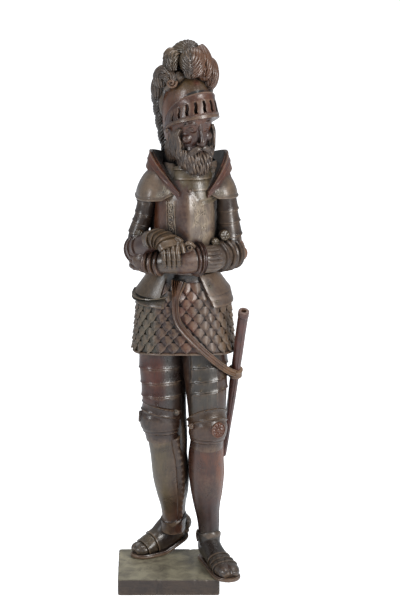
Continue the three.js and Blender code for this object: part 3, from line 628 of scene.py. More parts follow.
def legs(wood):
    thighs(wood)
    brass = between(BROWN, OLIVE, lambda p: 0.4 * smooth(p[:, 2], 220, 240))
    knee(
        wood,
        (50.2, -6, 220),
        LEFT_FRONT,
        1.0,
        (14.5, 17),
        (4, 13.5),
        (10.6, 2.75, 1.36),
        (brass, between(RED, ORANGE, lambda p: 0.35 + 0 * p[:, 0])),
    )
    dusk = between(DARK, BROWN, lambda p: 0.45 + 0 * p[:, 0])
    knee(wood, (-8.0, 0, 229), (-0.9, -0.43, 0), 0.985, (18, 7), (7.5, 6.5), (7.6, 2.72, 1.95), (dusk, dusk))
    for centre, turn, stain in (((30.5, -26, 226), 20, brass), ((10.5, -20, 243), -20, SLATE)):
        wood.add(stain, placed(placed(hoop(3.0, 1.2), nod=90), at=centre, turn=turn))
        wood.add(stain, ball(centre, (2.6, 2.6, 2.6), sides=14, high=8))
    greaves(wood)
    # Worm holes in the right shin and calf.
    holes = [(-14, 182), (-18, 166), (-8, 171), (-12, 158), (-3, 176), (-16, 145), (-6, 150), (-10, 138), (1, 163), (-4, 130)]
    holes += [(-17, 190), (-9, 186), (-20, 174), (-1, 186), (3, 150), (-13, 128), (-7, 118)]
    for x, z in holes:
        wood.cut(limb([(x, -60, z, 0.8, 0.8), (x, 2, z, 0.7, 0.7)], front=UP, sides=8, count=2))


# A foot in its own frame: the toe points to -Y, the sole is at z 0 and the heel lifts by lift.


def foot(wood, place, lift, long, upper, stops, slot_rows, sole_half, stains):
    """A boot in its own frame: toe to -Y, sole at z 0, the heel off the ground by lift."""
    heel = upper[0][0] + 1

    def ground(y):
        return lift * np.maximum(0, (y + 0.12 * long) / (heel + 0.12 * long)) ** 1.15

    rows = [(x, y, ground(y) + 3 + top / 2, half, top / 2 + 0.5) for y, half, top, x in upper]
    flat_toe = len(rows) - 1

    def pattern(t, angle, p):
        above = np.clip(np.sin(angle), 0, 1)
        slots = np.clip(np.cos(10 * (angle - math.pi / 2)), 0, 1) ** 1.5 * smooth(above, 0.3, 0.55)
        pits = sum(bump(t - row, 0.17) for row in slot_rows)
        notch = bump(angle - math.pi / 2 - 0.05, 0.12) * smooth(t, flat_toe - 2.2, flat_toe - 1.4)
        lobes = bump(abs(angle - math.pi / 2) - 0.55, 0.4) * smooth(t, flat_toe - 2.1, flat_toe - 1.2)
        return -1.6 * slots * pits - 1.5 * notch + 1.1 * lobes

    relief = total(lames(rows, stops, 1.1, 1.2), pattern)
    body = limb(rows, front=UP, sides=120, count=60, stops=stops, power=2.3, relief=relief)
    edge = np.array([(y, half) for y, half in sole_half])
    fine = through(edge, np.linspace(0, len(edge) - 1, 34))
    fine = np.vstack([(fine[0, 0] + 1.6, fine[0, 1] * 0.5), fine, (fine[-1, 0] - 2.2, fine[-1, 1] * 0.5)])
    rings = []
    for y, half in fine:
        z = ground(y)
        x = np.interp(-y, [-row[0] for row in upper], [row[3] for row in upper])
        side = [(half - 0.5, 0), (half, 0.8), (half, 2.6), (half - 0.5, 3.3), (half - 1.7, 3.6), (half - 2.2, 4.6)]
        right = [(x + w, y, z + h) for w, h in side]
        rings.append(right + [(2 * x - w, y, h) for w, _, h in reversed(right)])
    for stain, shape in zip(stains, (body, skin(rings))):
        wood.add(stain, placed(shape, **place))


def feet(wood):
    shine = between(DARK, SLATE, lambda p: 0.5 + 0 * p[:, 0])
    # A reddish patch on the left toe cap: a painted highlight.
    toe = between(shine, RED, patch((76, -50, 30), 9))
    upper = [
        (33.2, 10.5, 18, 0),
        (27, 13, 29, 0),
        (14, 13.4, 33, -0.4),
        (2, 13.2, 29, -0.8),
        (-13, 14.2, 23.5, -0.8),
        (-28, 16, 18.5, 0),
        (-42, 16.6, 15.5, 0.8),
        (-53, 14.4, 13, 1),
        (-59, 9.5, 8.5, 1),
    ]
    sole = [(35.2, 9.5), (29, 13), (16, 13.8), (0, 14), (-15, 15.6), (-30, 17.6), (-43.5, 18), (-54, 15.2), (-61, 9)]
    place = {"at": (60.5, -4.5, SOLE), "turn": 20}
    foot(wood, place, 0, 95, upper, (4.4, 5.05, 5.7), (4.75, 5.4), sole, (toe, BROWN))
    instep = between(DARK, DUSTY, patch((-30, 30, 45), 15))
    instep = between(instep, SLATE, patch((-40, 26, 30), 9))
    instep = between(instep, TAN, patch((17, 54, 44), 11))
    upper = [
        (27.8, 9.5, 18, 0),
        (22, 12, 33, 0),
        (9, 13.2, 42, 0),
        (1, 13.6, 40, 0),
        (-11, 14.6, 32.5, 0),
        (-24, 15.8, 24, 0),
        (-36, 15.6, 15.5, 0),
        (-44.5, 13.2, 12, 0),
        (-49, 8.8, 8, 0),
    ]
    sole = [(28.4, 8.5), (23, 12), (10, 13.2), (0, 14), (-13, 15.5), (-25.6, 16.8), (-37, 16.4), (-45.4, 13.6), (-50.8, 8)]
    place = {"at": (-2.5, 49, SOLE + 0.6), "turn": -61}
    foot(wood, place, 16, 80, upper, (4.85, 6.0), (5.2, 5.65), sole, (instep, BROWN))
    left_rim = [(53.4, 17, 61, 13.8, 15.6), (53.6, 16.4, 59.4, 15.4, 17.0), (53.6, 16, 57.4, 14.8, 16.4), (54, 13, 44, 13.4, 16)]
    right_rim = [(6.4, 34.5, 78.5, 14, 17), (6.6, 35, 76.6, 15.9, 18.6), (6.6, 35.4, 74.4, 15, 17.8), (6, 38, 58, 13.6, 17)]
    wood.add(shine, limb(left_rim, front=LEFT_FRONT, sides=56, count=16))
    wood.add(instep, limb(right_rim, front=RIGHT_FRONT, sides=56, count=16))
    wood.add(shine, limb([(58, -5, 53, 2.2, 1.8), (61.5, -6.4, 51.4, 3.0, 2.4), (64, -4.5, 53, 2, 1.8)], front=UP, sides=14, count=8))
    wood.add(DARK, ball((25, 53, 58), (4.0, 5, 6.2), sides=16, high=9))
    wood.add(TAN, ball((23.5, 54, 49.5), (4, 4.4, 4.4), sides=16, high=8))
    wood.add(DARK, limb([(38.6, 22, 62, 1.6, 1.8), (37.6, 24, 55, 2.0, 2.2), (38.6, 22, 46, 1.4, 1.6)], sides=12, count=8))


# Skirt of pointed scales, and the plates over it.


SKIRT = {"x": 20.2, "y": 8, "top": 426, "hem": 320}
COLUMNS = 24
ROWS = 10


def skirt_at(angle, z, more=0.0):
    angle, z, more = np.broadcast_arrays(np.asarray(angle, float), np.asarray(z, float), np.asarray(more, float))
    h = np.maximum(z, 318.01)
    wide = 65.5 - 7.2 * (np.minimum(84, h - 318) / 70) ** 0.8 - 0.62 * np.maximum(0, h - 402)
    c, s = np.cos(angle), np.sin(angle)
    rounded = (abs(c) ** 2.25 + abs(s) ** 2.25) ** (-1 / 2.25)
    x = SKIRT["x"] + (wide + more) * c * rounded
    y = SKIRT["y"] + (0.69 * wide + more) * s * rounded
    return np.stack([x, y, z], -1)


def hem_at(angle):
    return SKIRT["hem"] + 6.5 * np.maximum(0, -np.sin(angle)) ** 2


def scale(angle, top, tall):
    """One pointed leaf with a ridge down its middle; its point stands off the row below."""

    def half(v):
        lower = np.clip((v - 0.40) / 0.60, 0, 1)
        return (math.pi / COLUMNS) * (1 - lower**1.9) * 0.98 + 0.003

    def face(u, v):
        side = 2 * u - 1
        lift = 0.2 + 3.1 * v**1.4 + 1.5 * (1 - abs(side)) - 0.3 * v * side**2
        return skirt_at(angle + side * half(v), top - tall * v, lift)

    def back(u, v):
        side = 2 * u - 1
        return skirt_at(angle + side * half(v) * 0.96, top - tall * v, -1.5 + 1.2 * v)

    u = np.array([0, 0.24, 0.46, 0.5, 0.54, 0.76, 1.0])[None, :]
    v = np.array([0.3, 0.5, 0.64, 0.76, 0.86, 0.94, 1.0])[:, None]
    return skin(np.concatenate([face(u, v), back(u[:, ::-1], v)], 1))


def skirt(wood):
    grey_green = even(0.27, 0.265, 0.23)
    dark_red = even(0.185, 0.10, 0.095)
    orange_red = even(0.33, 0.175, 0.115)
    lavender = even(0.29, 0.24, 0.225)
    beige = even(0.34, 0.28, 0.22)

    def tone(p):
        x = p[:, 0]
        colour = grey_green(p)
        steps = ((-18, -12, dark_red), (13, 19, orange_red), (33, 39, lavender), (62, 68, beige))
        for low, high, stain in steps:
            share = smooth(x + 2 * np.sin(p[:, 2] / 6), low, high)[:, None]
            colour = colour * (1 - share) + stain(p) * share
        return colour

    angles = around(160)
    core = []
    for z in np.linspace(SKIRT["top"], SKIRT["hem"] + 3.5, 24):
        drop = (SKIRT["top"] - z) / (SKIRT["top"] - SKIRT["hem"] - 3.5)
        level = SKIRT["top"] + (hem_at(angles) + 3.5 - SKIRT["top"]) * drop
        core.append(skirt_at(angles, level, -0.6))
    wood.add(tone, skin(core))
    for row in range(1, ROWS + 1):
        for column in range(COLUMNS):
            angle = TURN * (column + 0.5 * (row % 2) + 0.2) / COLUMNS - math.pi / 2
            low = hem_at(angle) + 3.2
            pitch = (SKIRT["top"] - low) / ROWS
            if row < 2 and math.sin(angle) < 0.2:
                continue
            bottom = SKIRT["top"] - pitch * row
            wood.add(tone, scale(angle, bottom + 2.1 * pitch, 2.1 * pitch))
    rings = []
    for more, drop in ((-6, 1.2), (0.8, 0.4), (1.6, 0.9), (1.8, 2.0), (1.4, 3.0), (0.4, 3.8), (-6, 4.2)):
        rings.append(skirt_at(angles, hem_at(angles) + drop, more))
    wood.add(between(BROWN, PALE, lambda p: 0.25 + 0 * p[:, 0]), skin(rings))


def hip_plate(start, end, high, low, out=2.0, flare=1.5, slant=0.0, proud=0.0, swell=0.0):
    """A curved plate over the skirt with a rolled lower edge; proud lifts its first side off the skirt."""

    def face(u, v):
        z = high + (low - high) * v
        first = start + slant * v
        angle = np.radians(first + (end - first) * u)
        edge = 0.7 * bump((1 - v) * (high - low) - 0.9, 1.0) + 0.5 * bump(u * 40 - 0.6, 0.8)
        lift = out + flare * v + proud * (1 - smooth(u, 0, 0.55)) + edge + swell * np.sin(math.pi * v)
        return skirt_at(angle, z, lift)

    def back(u, v):
        z = high + (low - high) * v
        first = start + slant * v
        return skirt_at(np.radians(first + (end - first) * u), z, -13)

    return face, plate(face, back, 60, 12)


def hips(wood):
    hip = between(OLIVE, BROWN, lambda p: 0.35 + 0 * p[:, 0])
    brown_grey = between(BROWN, PALE, lambda p: 0.35 * smooth(p[:, 0], 30, 50))
    # A near-black trunk under the belt, seen between the hip plates: painted shade.
    trunk = [
        (SKIRT["x"], SKIRT["y"], 404, 50, 34),
        (20, 6, 418, 42, 30),
        (20.5, 5, 430, 35, 28),
        (21, 5, 440, 33, 27),
    ]
    wood.add(PAINTED_SHADE, limb(trunk, sides=60, count=10))
    pieces = [
        (-64, 80, 431, 406, 3.5, 2.0, 4, 3.0, brown_grey),
        (110, 241, 431, 402, 4.0, 2.0, 0, 0, hip),
        (-61, 70, 408, 391, 3.6, 2.0, 5, 4.5, brown_grey),
        (112, 246, 404, 389, 2.4, 1.5, -4, 0, hip),
    ]
    for start, end, high, low, out, flare, slant, proud, stain in pieces:
        face, shape = hip_plate(start, end, high, low, out, flare, slant, proud)
        wood.add(stain, shape)
        if start < 0:
            spot = face(np.array([[0.055]]), np.array([[0.55]]))[0, 0]
            wood.add(OLIVE, placed(stud(1.7, 1.2), at=spot, nod=90, turn=10))
    belt = [(21, 4, 431, 36, 30), (21, 4, 433, 37.6, 31.6), (21, 4, 437, 37.6, 31.6), (21, 4, 439, 36, 30)]
    wood.add(DARK, limb(belt, sides=60, count=8))

    def dish(thick):
        def face(u, v):
            u, v = np.broadcast_arrays(u, v)
            angle = np.radians(172 + 84 * u)
            bulge = np.sin(math.pi * np.clip(0.16 + 0.84 * u, 0, 1)) ** 0.55
            p = skirt_at(angle, 404, -3 + (13 * v + 3) * bulge)
            rim = 1.6 * bump(v - 0.95, 0.06) * (thick == 0)
            hollow = 3.4 * np.sin(math.pi * np.clip(v / 0.92, 0, 1)) ** 0.8
            z = 409.5 - 1.5 * u - bulge * (10.5 * v + hollow * (thick == 0)) + rim
            p[..., 2] = z - thick * (1 - 0.3 * v)
            return p

        return face

    grey_green = between(even(0.30, 0.31, 0.27), OLIVE, lambda p: smooth(p[:, 0], -12, 2))
    wood.add(grey_green, plate(dish(0), dish(3.6), 60, 26))


# Chest in its own frame, centred on the body and facing -Y.


CHEST_LEVELS = [
    (434, 31, 27, 24),
    (448, 35, 32, 28),
    (466, 38.5, 38, 32),
    (484, 39.2, 42, 35),
    (504, 38.8, 44, 37),
    (522, 38, 43, 37),
    (538, 37, 39, 35),
    (552, 34, 32, 31),
    (562, 27, 24, 27),
]


def chest_at(t, angle, more=0.0):
    """The breast and back plates. A keel runs down the front."""
    t, angle = np.broadcast_arrays(np.asarray(t, float), np.asarray(angle, float))
    z, wide, front, back = np.moveaxis(through(CHEST_LEVELS, t), -1, 0)
    c, s = np.cos(angle), np.sin(angle)
    rounded = (abs(c) ** 2.3 + abs(s) ** 2.3) ** (-1 / 2.3)
    x = wide * c * rounded
    keel = np.where(s < 0, 5.5 * np.maximum(0, 1 - abs(x) / 22), 0)
    strip = 0.7 * (abs(x + 22 - 0.03 * (z - 500)) < 5.2) * (z > 476) * (z < 535) * (s < 0)
    y = np.where(s < 0, front, back) * s * rounded - keel
    here = np.stack([x - 3.5, y, z], -1)
    out = unit(np.stack([c / wide, s / front, 0 * c], -1))
    return put(here + (more + strip)[..., None] * out, CHEST)


chest_at.rows = np.array([(24.5, 2, row[0]) for row in CHEST_LEVELS], float)
chest_at.last = len(CHEST_LEVELS) - 1
chest_at.step = 16.0


def chest(wood):
    def tone(p):
        local = (p - np.array(CHEST["at"])) @ rotation(CHEST["turn"])
        # The half of the breastplate on the +X side of the keel is painted pale: a painted highlight where it faces the
        # light.
        right = smooth(local[:, 0], -3.4, -2.8)[:, None]
        outer = (1 - smooth(local[:, 0], -32, -25))[:, None]
        strip = (bump(local[:, 0] + 25.5, 5))[:, None]
        base = even(0.25, 0.165, 0.145)(p)
        base = base * (1 - outer) + even(0.33, 0.18, 0.09)(p) * outer
        base = base * (1 - 0.6 * strip) + even(0.46, 0.44, 0.39)(p) * 0.6 * strip
        return base * (1 - right) + even(0.47, 0.43, 0.39)(p) * right

    angles = around(150)
    ts = np.linspace(0, chest_at.last, max(10, round(70 * DETAIL)))
    wood.add(tone, skin(chest_at(ts[:, None], angles[None, :])))
    front = -math.pi / 2
    silver = even(0.60, 0.57, 0.52)
    for k in range(8):
        t = 5.45 - 0.43 * k
        angle = front - 0.60 + 0.012 * k
        wood.add(silver, engraved(chest_at, t, angle, scroll(2.9, 1.2, 1 if k % 2 else -1), 42, 0.65, 0.9, 90 * (k % 2)))
    for side in (-1, 1):
        line = [chest_at(5.75 - 0.2 * k, front - 0.60 + side * 0.125 + 0.005 * k, 0.8) for k in range(20)]
        wood.add(silver, thread(line, 0.6))
    swirls = [
        (4.95, 0.30, 5.4, 1.7, 1, 60, 0.8),
        (4.72, 0.55, 3.4, 1.2, -1, -20, 0.65),
        (5.45, 0.48, 3.2, 1.2, -1, 120, 0.65),
        (4.25, 0.28, 3.2, 1.1, -1, 200, 0.65),
        (3.75, 0.50, 3.4, 1.2, 1, 20, 0.6),
        (5.6, 0.18, 2.4, 1.1, 1, 0, 0.6),
    ]
    for t, angle, size, turns, hand, spin, thick in swirls:
        wood.add(silver, engraved(chest_at, t, front + angle, scroll(size, turns, hand), 44, thick, 0.3, spin))
    stems = ([(4.2, 0.36), (3.9, 0.42), (3.5, 0.44), (3.1, 0.40)], [(4.4, 0.62), (4.0, 0.66), (3.5, 0.64), (3.1, 0.6)])
    for points in stems:
        line = through(np.array(points), np.linspace(0, 3, 20))
        wood.add(silver, thread(chest_at(line[:, 0], front + line[:, 1], 0.15), 0.55))

    gorget = [
        (5, 0, 568, 27, 26),
        (5, -1.5, 564, 29.5, 29),
        (5, -3.5, 553, 31.5, 32.5),
        (5, -4, 543, 34, 35.5),
        (5, -3, 533, 36, 37.5),
    ]
    stops = (0.8, 1.7, 2.6, 3.4)
    straw = between(OLIVE, DUSTY, lambda p: 0.55 + 0 * p[:, 0])
    relief = lames(gorget, stops, 1.3, 1.0)
    wood.add(straw, placed(limb(gorget, sides=96, count=24, stops=stops, relief=relief), **CHEST))
    clasp = put([(-1, -39.6, 549)], CHEST)[0]
    for drop in (0, 5, 10):
        wood.add(PURPLE, placed(stud(2.2, 2.0), at=clasp - (0, -1.3 * drop / 5 + 1.0, drop), nod=90, turn=7))


def shoulder_at(side):
    """The dome over a shoulder, with t from 0 at its lower edge to 5 at its top."""

    def at(t, angle, more=0.0):
        t, angle = np.broadcast_arrays(np.asarray(t, float), np.asarray(angle, float))
        v = np.clip(t / 5, 0, 1)
        c, s = np.cos(angle) * side, np.sin(angle)
        outer = np.where(c > 0, 28.5, 27)
        rounded = (abs(c) ** 2.6 + abs(s) ** 2.6) ** (-1 / 2.6)
        inward = np.maximum(0, -c) * np.maximum(0, -s)
        edge = 530 + 16 * inward + 6 * np.maximum(0, -s)
        shrink = np.maximum(0.02, 1 - v**1.6) ** 0.62
        bead = 1.0 * bump(v - 0.035, 0.03) - 0.5 * bump(v - 0.1, 0.025)
        reach = shrink + (more + bead) / 33
        x = outer * c * rounded * side * reach
        y = 38 * s * rounded * reach
        here = np.stack([side * 37 - 0.2 + x, y, edge + (573 - edge) * v], -1)
        return put(here, CHEST)

    at.rows = put([(side * 37, 0, 530 + 8.6 * k) for k in range(6)], CHEST)
    at.last = 5
    at.step = -9.0
    return at


COLLAR_HIGH = [(16.5, -41, 548), (29, -33, 564), (40, -14, 577), (46.5, 9, 589), (42, 26, 587), (28, 38, 581)]
COLLAR_LOW = [(15.5, -39, 538), (31, -33, 550), (45, -15, 561), (53, 8, 568), (48, 29, 567), (32, 41, 562)]


def shoulders(wood):
    for side in (-1, 1):
        at = shoulder_at(side)
        ts = [0, 0.06, 0.12, 0.18, 0.24, 0.32, 0.42, 0.5, 0.6, 0.8, 1.1, 1.5, 1.9, 2.3, 2.8, 3.3, 3.8, 4.3, 4.7, 5]
        # Paler on the front of the dome: a painted highlight.
        grey_and_front_highlight = between(even(0.27, 0.23, 0.19), PALE, lambda p: 0.4 * bump(p[:, 1] + 33, 14))
        wood.add(grey_and_front_highlight, skin(at(np.array(ts)[:, None], around(120)[None, :])))
        silver = even(0.50, 0.49, 0.46)
        corner = -math.pi / 2 - side * 0.42
        swirls = [
            (0.0, 1.05, 3.4, 1, 20),
            (0.24, 0.95, 2.8, -1, 80),
            (-0.22, 1.0, 2.6, -1, 200),
            (0.1, 1.75, 2.4, 1, 140),
            (-0.12, 1.7, 2.2, -1, 300),
            (0.44, 1.0, 2.2, 1, 40),
        ]
        for shift, t, size, hand, spin in swirls:
            place = corner + side * (shift + 0.12)
            wood.add(silver, engraved(at, t, place, scroll(size, 1.3, hand), 33, 0.6, 0.3, spin))
        wood.add(BROWN, seat(stud(1.9, 1.3), at, 0.75, corner - side * 0.22))

        def collar(shift, raised):
            def face(u, v):
                u, v = np.broadcast_arrays(u, v)
                a = through(COLLAR_LOW, u * 5)
                b = through(COLLAR_HIGH, u * 5)
                p = a + (b - a) * v[..., None]
                away = np.hypot(p[..., 0] - 5, p[..., 1])
                band = raised * (0.9 * smooth(v, 0.42, 0.48) + 0.9 * bump(v - 0.95, 0.05) + 0.6 * bump(v - 0.48, 0.04))
                grow = 1 - (shift - band) / away
                x = side * ((p[..., 0] - 5) * grow + 5) + 4 + 2.6 * side
                drop = 4.0 * (side > 0) * smooth(u, 0.3, 0.6)
                return put(np.stack([x, p[..., 1] * grow, p[..., 2] - drop], -1), CHEST)

            return face

        band_stain = between(RED, ORANGE, lambda p: 0.3 * smooth(p[:, 2], 540, 580))
        wood.add(band_stain, plate(collar(0, 1), collar(3.2, 0), 70, 26))
        # The inside of each collar is lined near black: painted shade.
        wood.add(PAINTED_SHADE, plate(collar(2.9, 0), collar(4.2, 0), 40, 8))
        # The dark well between the collar and the neck, painted near black as shade.
        well = [
            (side * 22 + 5, 4, 545, 18, 30),
            (side * 24 + 5, 6, 560, 17, 27),
            (side * 22 + 5, 9, 572, 13, 20),
        ]
        wood.add(PAINTED_SHADE, placed(limb(well, sides=36, count=8), **CHEST))
    # The nape behind the neck, near black: painted shade.
    nape = [(3, 20, 545, 36, 17), (3, 20, 562, 34, 16), (2, 20, 578, 30, 13), (2, 19, 590, 24, 10)]
    wood.add(PAINTED_SHADE, placed(limb(nape, sides=48, count=8), **CHEST))


# Arms fold in front of the belly, the right hand on top of the left forearm.


RIGHT_UPPER = [
    (-16, 3, 556, 13, 14),
    (-25, 3, 538, 13, 14),
    (-27.5, 4, 518, 12.4, 14),
    (-31.5, 4, 500, 12.2, 13.5),
    (-37.5, 4, 484, 12, 13.5),
    (-41, 3, 466, 12, 14),
]
RIGHT_LOWER = [
    (-42, 6, 457, 15.5, 18),
    (-38, -8, 463, 15.5, 17),
    (-30, -24, 471, 14.5, 15.5),
    (-21, -38, 480, 13, 13),
    (-14, -47, 486, 12, 11),
]
LEFT_UPPER = [
    (68, 3, 556, 13, 14),
    (73.5, 4, 538, 13, 14),
    (75.8, 4, 522, 13, 14.5),
    (77, 4, 506, 13.6, 15),
    (78.5, 3, 489, 14.8, 16),
    (80, 3, 470, 15.5, 17),
]
LEFT_LOWER = [
    (86, 7, 455, 17, 18),
    (76, -8, 456, 18.5, 18),
    (63, -24, 457, 18.5, 17),
    (52, -33, 457, 18.6, 17),
    (42, -40, 459, 18.6, 17),
    (34, -44, 460, 17.5, 16.5),
    (18, -48, 459, 17.2, 16),
    (0, -46, 457, 16, 15),
    (-16, -38, 455, 16, 13),
]


def ring(first, second, wide, deep, lip=1.0):
    """A raised ring round a forearm, rolled at both edges."""
    first, second = np.array(first, float), np.array(second, float)
    shares = (0.0, 0.08, 0.2, 0.35, 0.65, 0.8, 0.92, 1.0)
    grow = (-2.5, 0.1, lip, 0.3, 0.3, lip, 0.1, -2.5)
    rows = [(*(first + (second - first) * f), wide + g, deep + g) for f, g in zip(shares, grow)]
    at = limb_at(rows, UP)
    return skin(at(np.arange(len(rows))[:, None], around(64)[None, :]))


def arms(wood):
    sleeve = between(even(0.225, 0.19, 0.155), BROWN, lambda p: 0.4 + 0 * p[:, 0])
    elbow = between(sleeve, ORANGE, lambda p: 0.6 * smooth(p[:, 0], 84, 98) + 0 * p[:, 0])
    stops = (1.7, 2.6, 3.4, 4.2)
    relief = lames(RIGHT_UPPER, stops, 0.9, 0.8)
    wood.add(between(sleeve, DARK, lambda p: 0.4 + 0 * p[:, 0]), limb(RIGHT_UPPER, sides=64, count=26, stops=stops, relief=relief))
    stops = (0.55, 1.15, 1.75)
    relief = lames(RIGHT_LOWER, stops, 1.3, 0.9)
    wood.add(PURPLE, limb(RIGHT_LOWER, sides=72, count=30, front=UP, stops=stops, relief=relief))
    stops = (2.6, 3.6, 4.5)
    relief = lames(LEFT_UPPER, stops, 1.7, 1.1)
    wood.add(sleeve, limb(LEFT_UPPER, sides=72, count=26, stops=stops, relief=relief))

    def flutes(t, angle, p):
        span = smooth(t, 2.3, 2.5) * (1 - smooth(t, 3.85, 4.0))
        return span * 2.1 * (abs(np.cos(8.5 * angle)) ** 0.6 - 0.6)

    fluted = between(sleeve, PALE, lambda p: 0.35 + 0 * p[:, 0])
    wood.add(fluted, limb(LEFT_LOWER, sides=200, count=60, front=UP, relief=flutes))
    cuff = between(RED, PURPLE, lambda p: 0.5 + 0 * p[:, 0])
    hoops = (
        ((42.5, -39.6, 459.3), (38.6, -41.4, 459.8), 20.2, 18.6),
        ((38.4, -41.5, 459.8), (35.0, -43.2, 460), 22.2, 20.4),
        ((34.8, -43.3, 460), (31.4, -45, 460), 20.6, 18.8),
    )
    for first, second, wide, deep in hoops:
        wood.add(cuff, ring(first, second, wide + 1.2, deep + 1.2, 1.5))
    glove = [(32, -44.6, 460, 19, 17.5), (26, -46.5, 459.6, 18.4, 17.2), (19, -48, 459, 18.2, 17), (16, -48, 459, 17, 16)]
    wood.add(cuff, limb(glove, sides=64, count=12, front=UP))
    hoops = (
        ((67.5, -19.5, 457), (62.5, -23.8, 457), 20.8, 19.6),
        ((77, -9, 456), (70.5, -15.5, 456.5), 21.2, 20.2),
        ((84, -1, 455.5), (79, -6.5, 456), 20.2, 19.6),
    )
    for first, second, wide, deep in hoops:
        wood.add(sleeve, ring(first, second, wide, deep, 1.5))
    # Near-black fillers between the arms and the body: painted shade.
    for x, z, low in ((-16, 9, 470), (61, 9, 466)):
        rows = [(x, z, 548, 8, 12), (x, z, 505, 7, 11), (x, z, low, 6.5, 10)]
        wood.add(PAINTED_SHADE, limb(rows, sides=24, count=6))
    # The belly in the shade under the folded arms.
    wood.add(PAINTED_SHADE, limb([(14, 2, 452, 34, 26), (16, 2, 436, 34, 28), (18, 3, 424, 38, 29)], sides=48, count=8))
    wood.add(elbow, ball((84, 5, 456), (16, 17, 20), sides=48, high=24))
    wood.add(elbow, ball((94, 9, 451), (9, 9, 10), sides=32, high=16))
    wood.add(sleeve, ball((-39.5, 4, 459), (14.2, 17, 22), sides=48, high=24))
    for centre, turn, size in (((-36.5, -12, 484), -20, 6.4), ((72, -14.5, 483), 25, 7.6), ((60, -24, 477), 20, 5.6)):
        wood.add(sleeve, ball(centre, (size, 4.4, size), sides=28, high=12, turn=turn))
        a = math.radians(turn) - math.pi / 2
        out = np.array([math.cos(a), math.sin(a), 0.12])
        flower = placed(rosette(size * 0.92, 6, 1.5), nod=83)
        wood.add(OLIVE, placed(flower, at=np.array(centre) + 3.5 * out, turn=turn))


def hands(wood):
    """Gauntlets: the right one lies on the left forearm, the left one holds the right elbow."""
    gold = between(BROWN, OLIVE, lambda p: 0.55 + 0 * p[:, 0])
    back = [
        (-22, -38, 485, 14, 11),
        (-15, -46, 488, 14, 10),
        (-8, -52, 488.5, 15, 9.5),
        (-1, -59, 486, 16, 9),
        (3, -65, 480, 14.5, 8),
    ]
    stops = (0.9, 1.6, 2.3, 3.0)
    relief = lames(back, stops, 2.1, 1.3)
    wood.add(gold, limb(back, sides=72, count=26, front=UP, power=2.4, stops=stops, relief=relief))
    for i, x in enumerate((-5, 1.4, 7.6, 13.4)):
        low = (455, 453, 454, 457)[i]
        rows = [
            (x - 4 + i, -58, 486, 3.4, 4),
            (x - 1, -66.5, 479, 3.5, 4.1),
            (x, -69.5, 470, 3.2, 3.7),
            (x + 0.5, -68.5, 461, 2.9, 3.4),
            (x + 0.8, -65.5, low + 1, 2.2, 2.4),
        ]
        knuckles = (1.5, 2.3, 3.1)
        relief = lames(rows, knuckles, 0.4, 0.35)
        wood.add(gold, limb(rows, sides=26, count=20, front=(0, -1, 0.2), stops=knuckles, relief=relief))
        wood.add(PALE, ball((x - 2.2 + 0.4 * i, -67.3, 484 - 0.4 * i), (1.6, 1.4, 1.6), sides=12, high=7))
    wood.add(DARK, ball((4, -60, 468), (13, 5, 11), sides=24, high=10))
    for k in range(3):
        wood.add(PALE, ball((-10.5 + 1.6 * k, -58 - 2.2 * k, 485 - 3 * k), (1.5, 1.5, 1.5), sides=10, high=6))
    thumb = [(8, -52, 489, 5, 5), (14, -56, 487.5, 4.8, 4.9), (18, -60, 482, 4.2, 4.4), (20, -64, 474, 3, 3.4)]
    wood.add(gold, limb(thumb, sides=26, count=16, stops=(1.5,), relief=lames(thumb, (1.5,), 0.7, 0.6)))
    buckle = [(21, -58, 482, 2.2, 2.2), (25, -60, 486, 2.8, 2.6), (30, -59, 485, 2.8, 2.6), (34, -56, 480, 2.0, 2.0)]
    wood.add(gold, limb(buckle, sides=18, count=10, front=UP))
    wood.add(gold, placed(placed(hoop(2.7, 1.0), nod=75), at=(28, -60, 480)))
    # Left gauntlet round the right elbow.
    palm = between(BROWN, RED, lambda p: 0.3 + 0 * p[:, 0])
    wood.add(palm, ball((-27, -26, 453), (19, 13, 17), sides=44, high=22))
    for i, z in enumerate((463, 457, 451, 445)):
        rows = [
            (-24, -37, z, 4, 4),
            (-36, -31, z - 1, 3.9, 4),
            (-45, -20, z - 2, 3.7, 3.8),
            (-49.0 + i, -8, z - 2, 3.2, 3.4),
        ]
        knuckles = (0.9, 1.7, 2.4)
        relief = lames(rows, knuckles, 0.5, 0.45)
        wood.add(palm, limb(rows, sides=24, count=20, front=UP, stops=knuckles, relief=relief))
    hoops = (
        ((-8, -43.5, 455.5), (-12.5, -41.5, 455), 18.2, 16.4),
        ((-13.5, -41, 455), (-18, -38.5, 454.5), 18.4, 16),
        ((-19.5, -37.6, 454.4), (-24, -34.5, 454), 17.8, 15.6),
    )
    for first, second, wide, deep in hoops:
        wood.add(palm, ring(first, second, wide, deep, 1.3))
    oval = placed(hoop(7.2, 1.2, flat=1.0), nod=90)
    wood.add(gold, placed(oval, at=(-47, -13, 456), turn=-52))
    wood.add(gold, ball((-46.2, -12.4, 456), (5.6, 3.2, 5.8), sides=22, high=10, turn=-52))


# Head in its own frame, facing -Y, set on the neck and turned to its left.


def lock(points, wide, strands=4, deep=0.16, flat=0.75):
    """A lock of hair: a grooved strand that swells and tapers along its points."""
    points = np.asarray(points, float)
    share = np.linspace(0, 1, len(points))
    size = wide * (0.45 + 0.75 * np.sin(math.pi * np.clip(share * 0.8 + 0.12, 0, 1)) ** 0.8) * (1 - 0.75 * share**3)
    rows = np.column_stack([points, size, size * flat])
    return limb(rows, front=(0.05, -1, 0.1), sides=22, count=16, relief=lambda t, a, p: wide * deep * np.cos(strands * a + 0.8 * t))


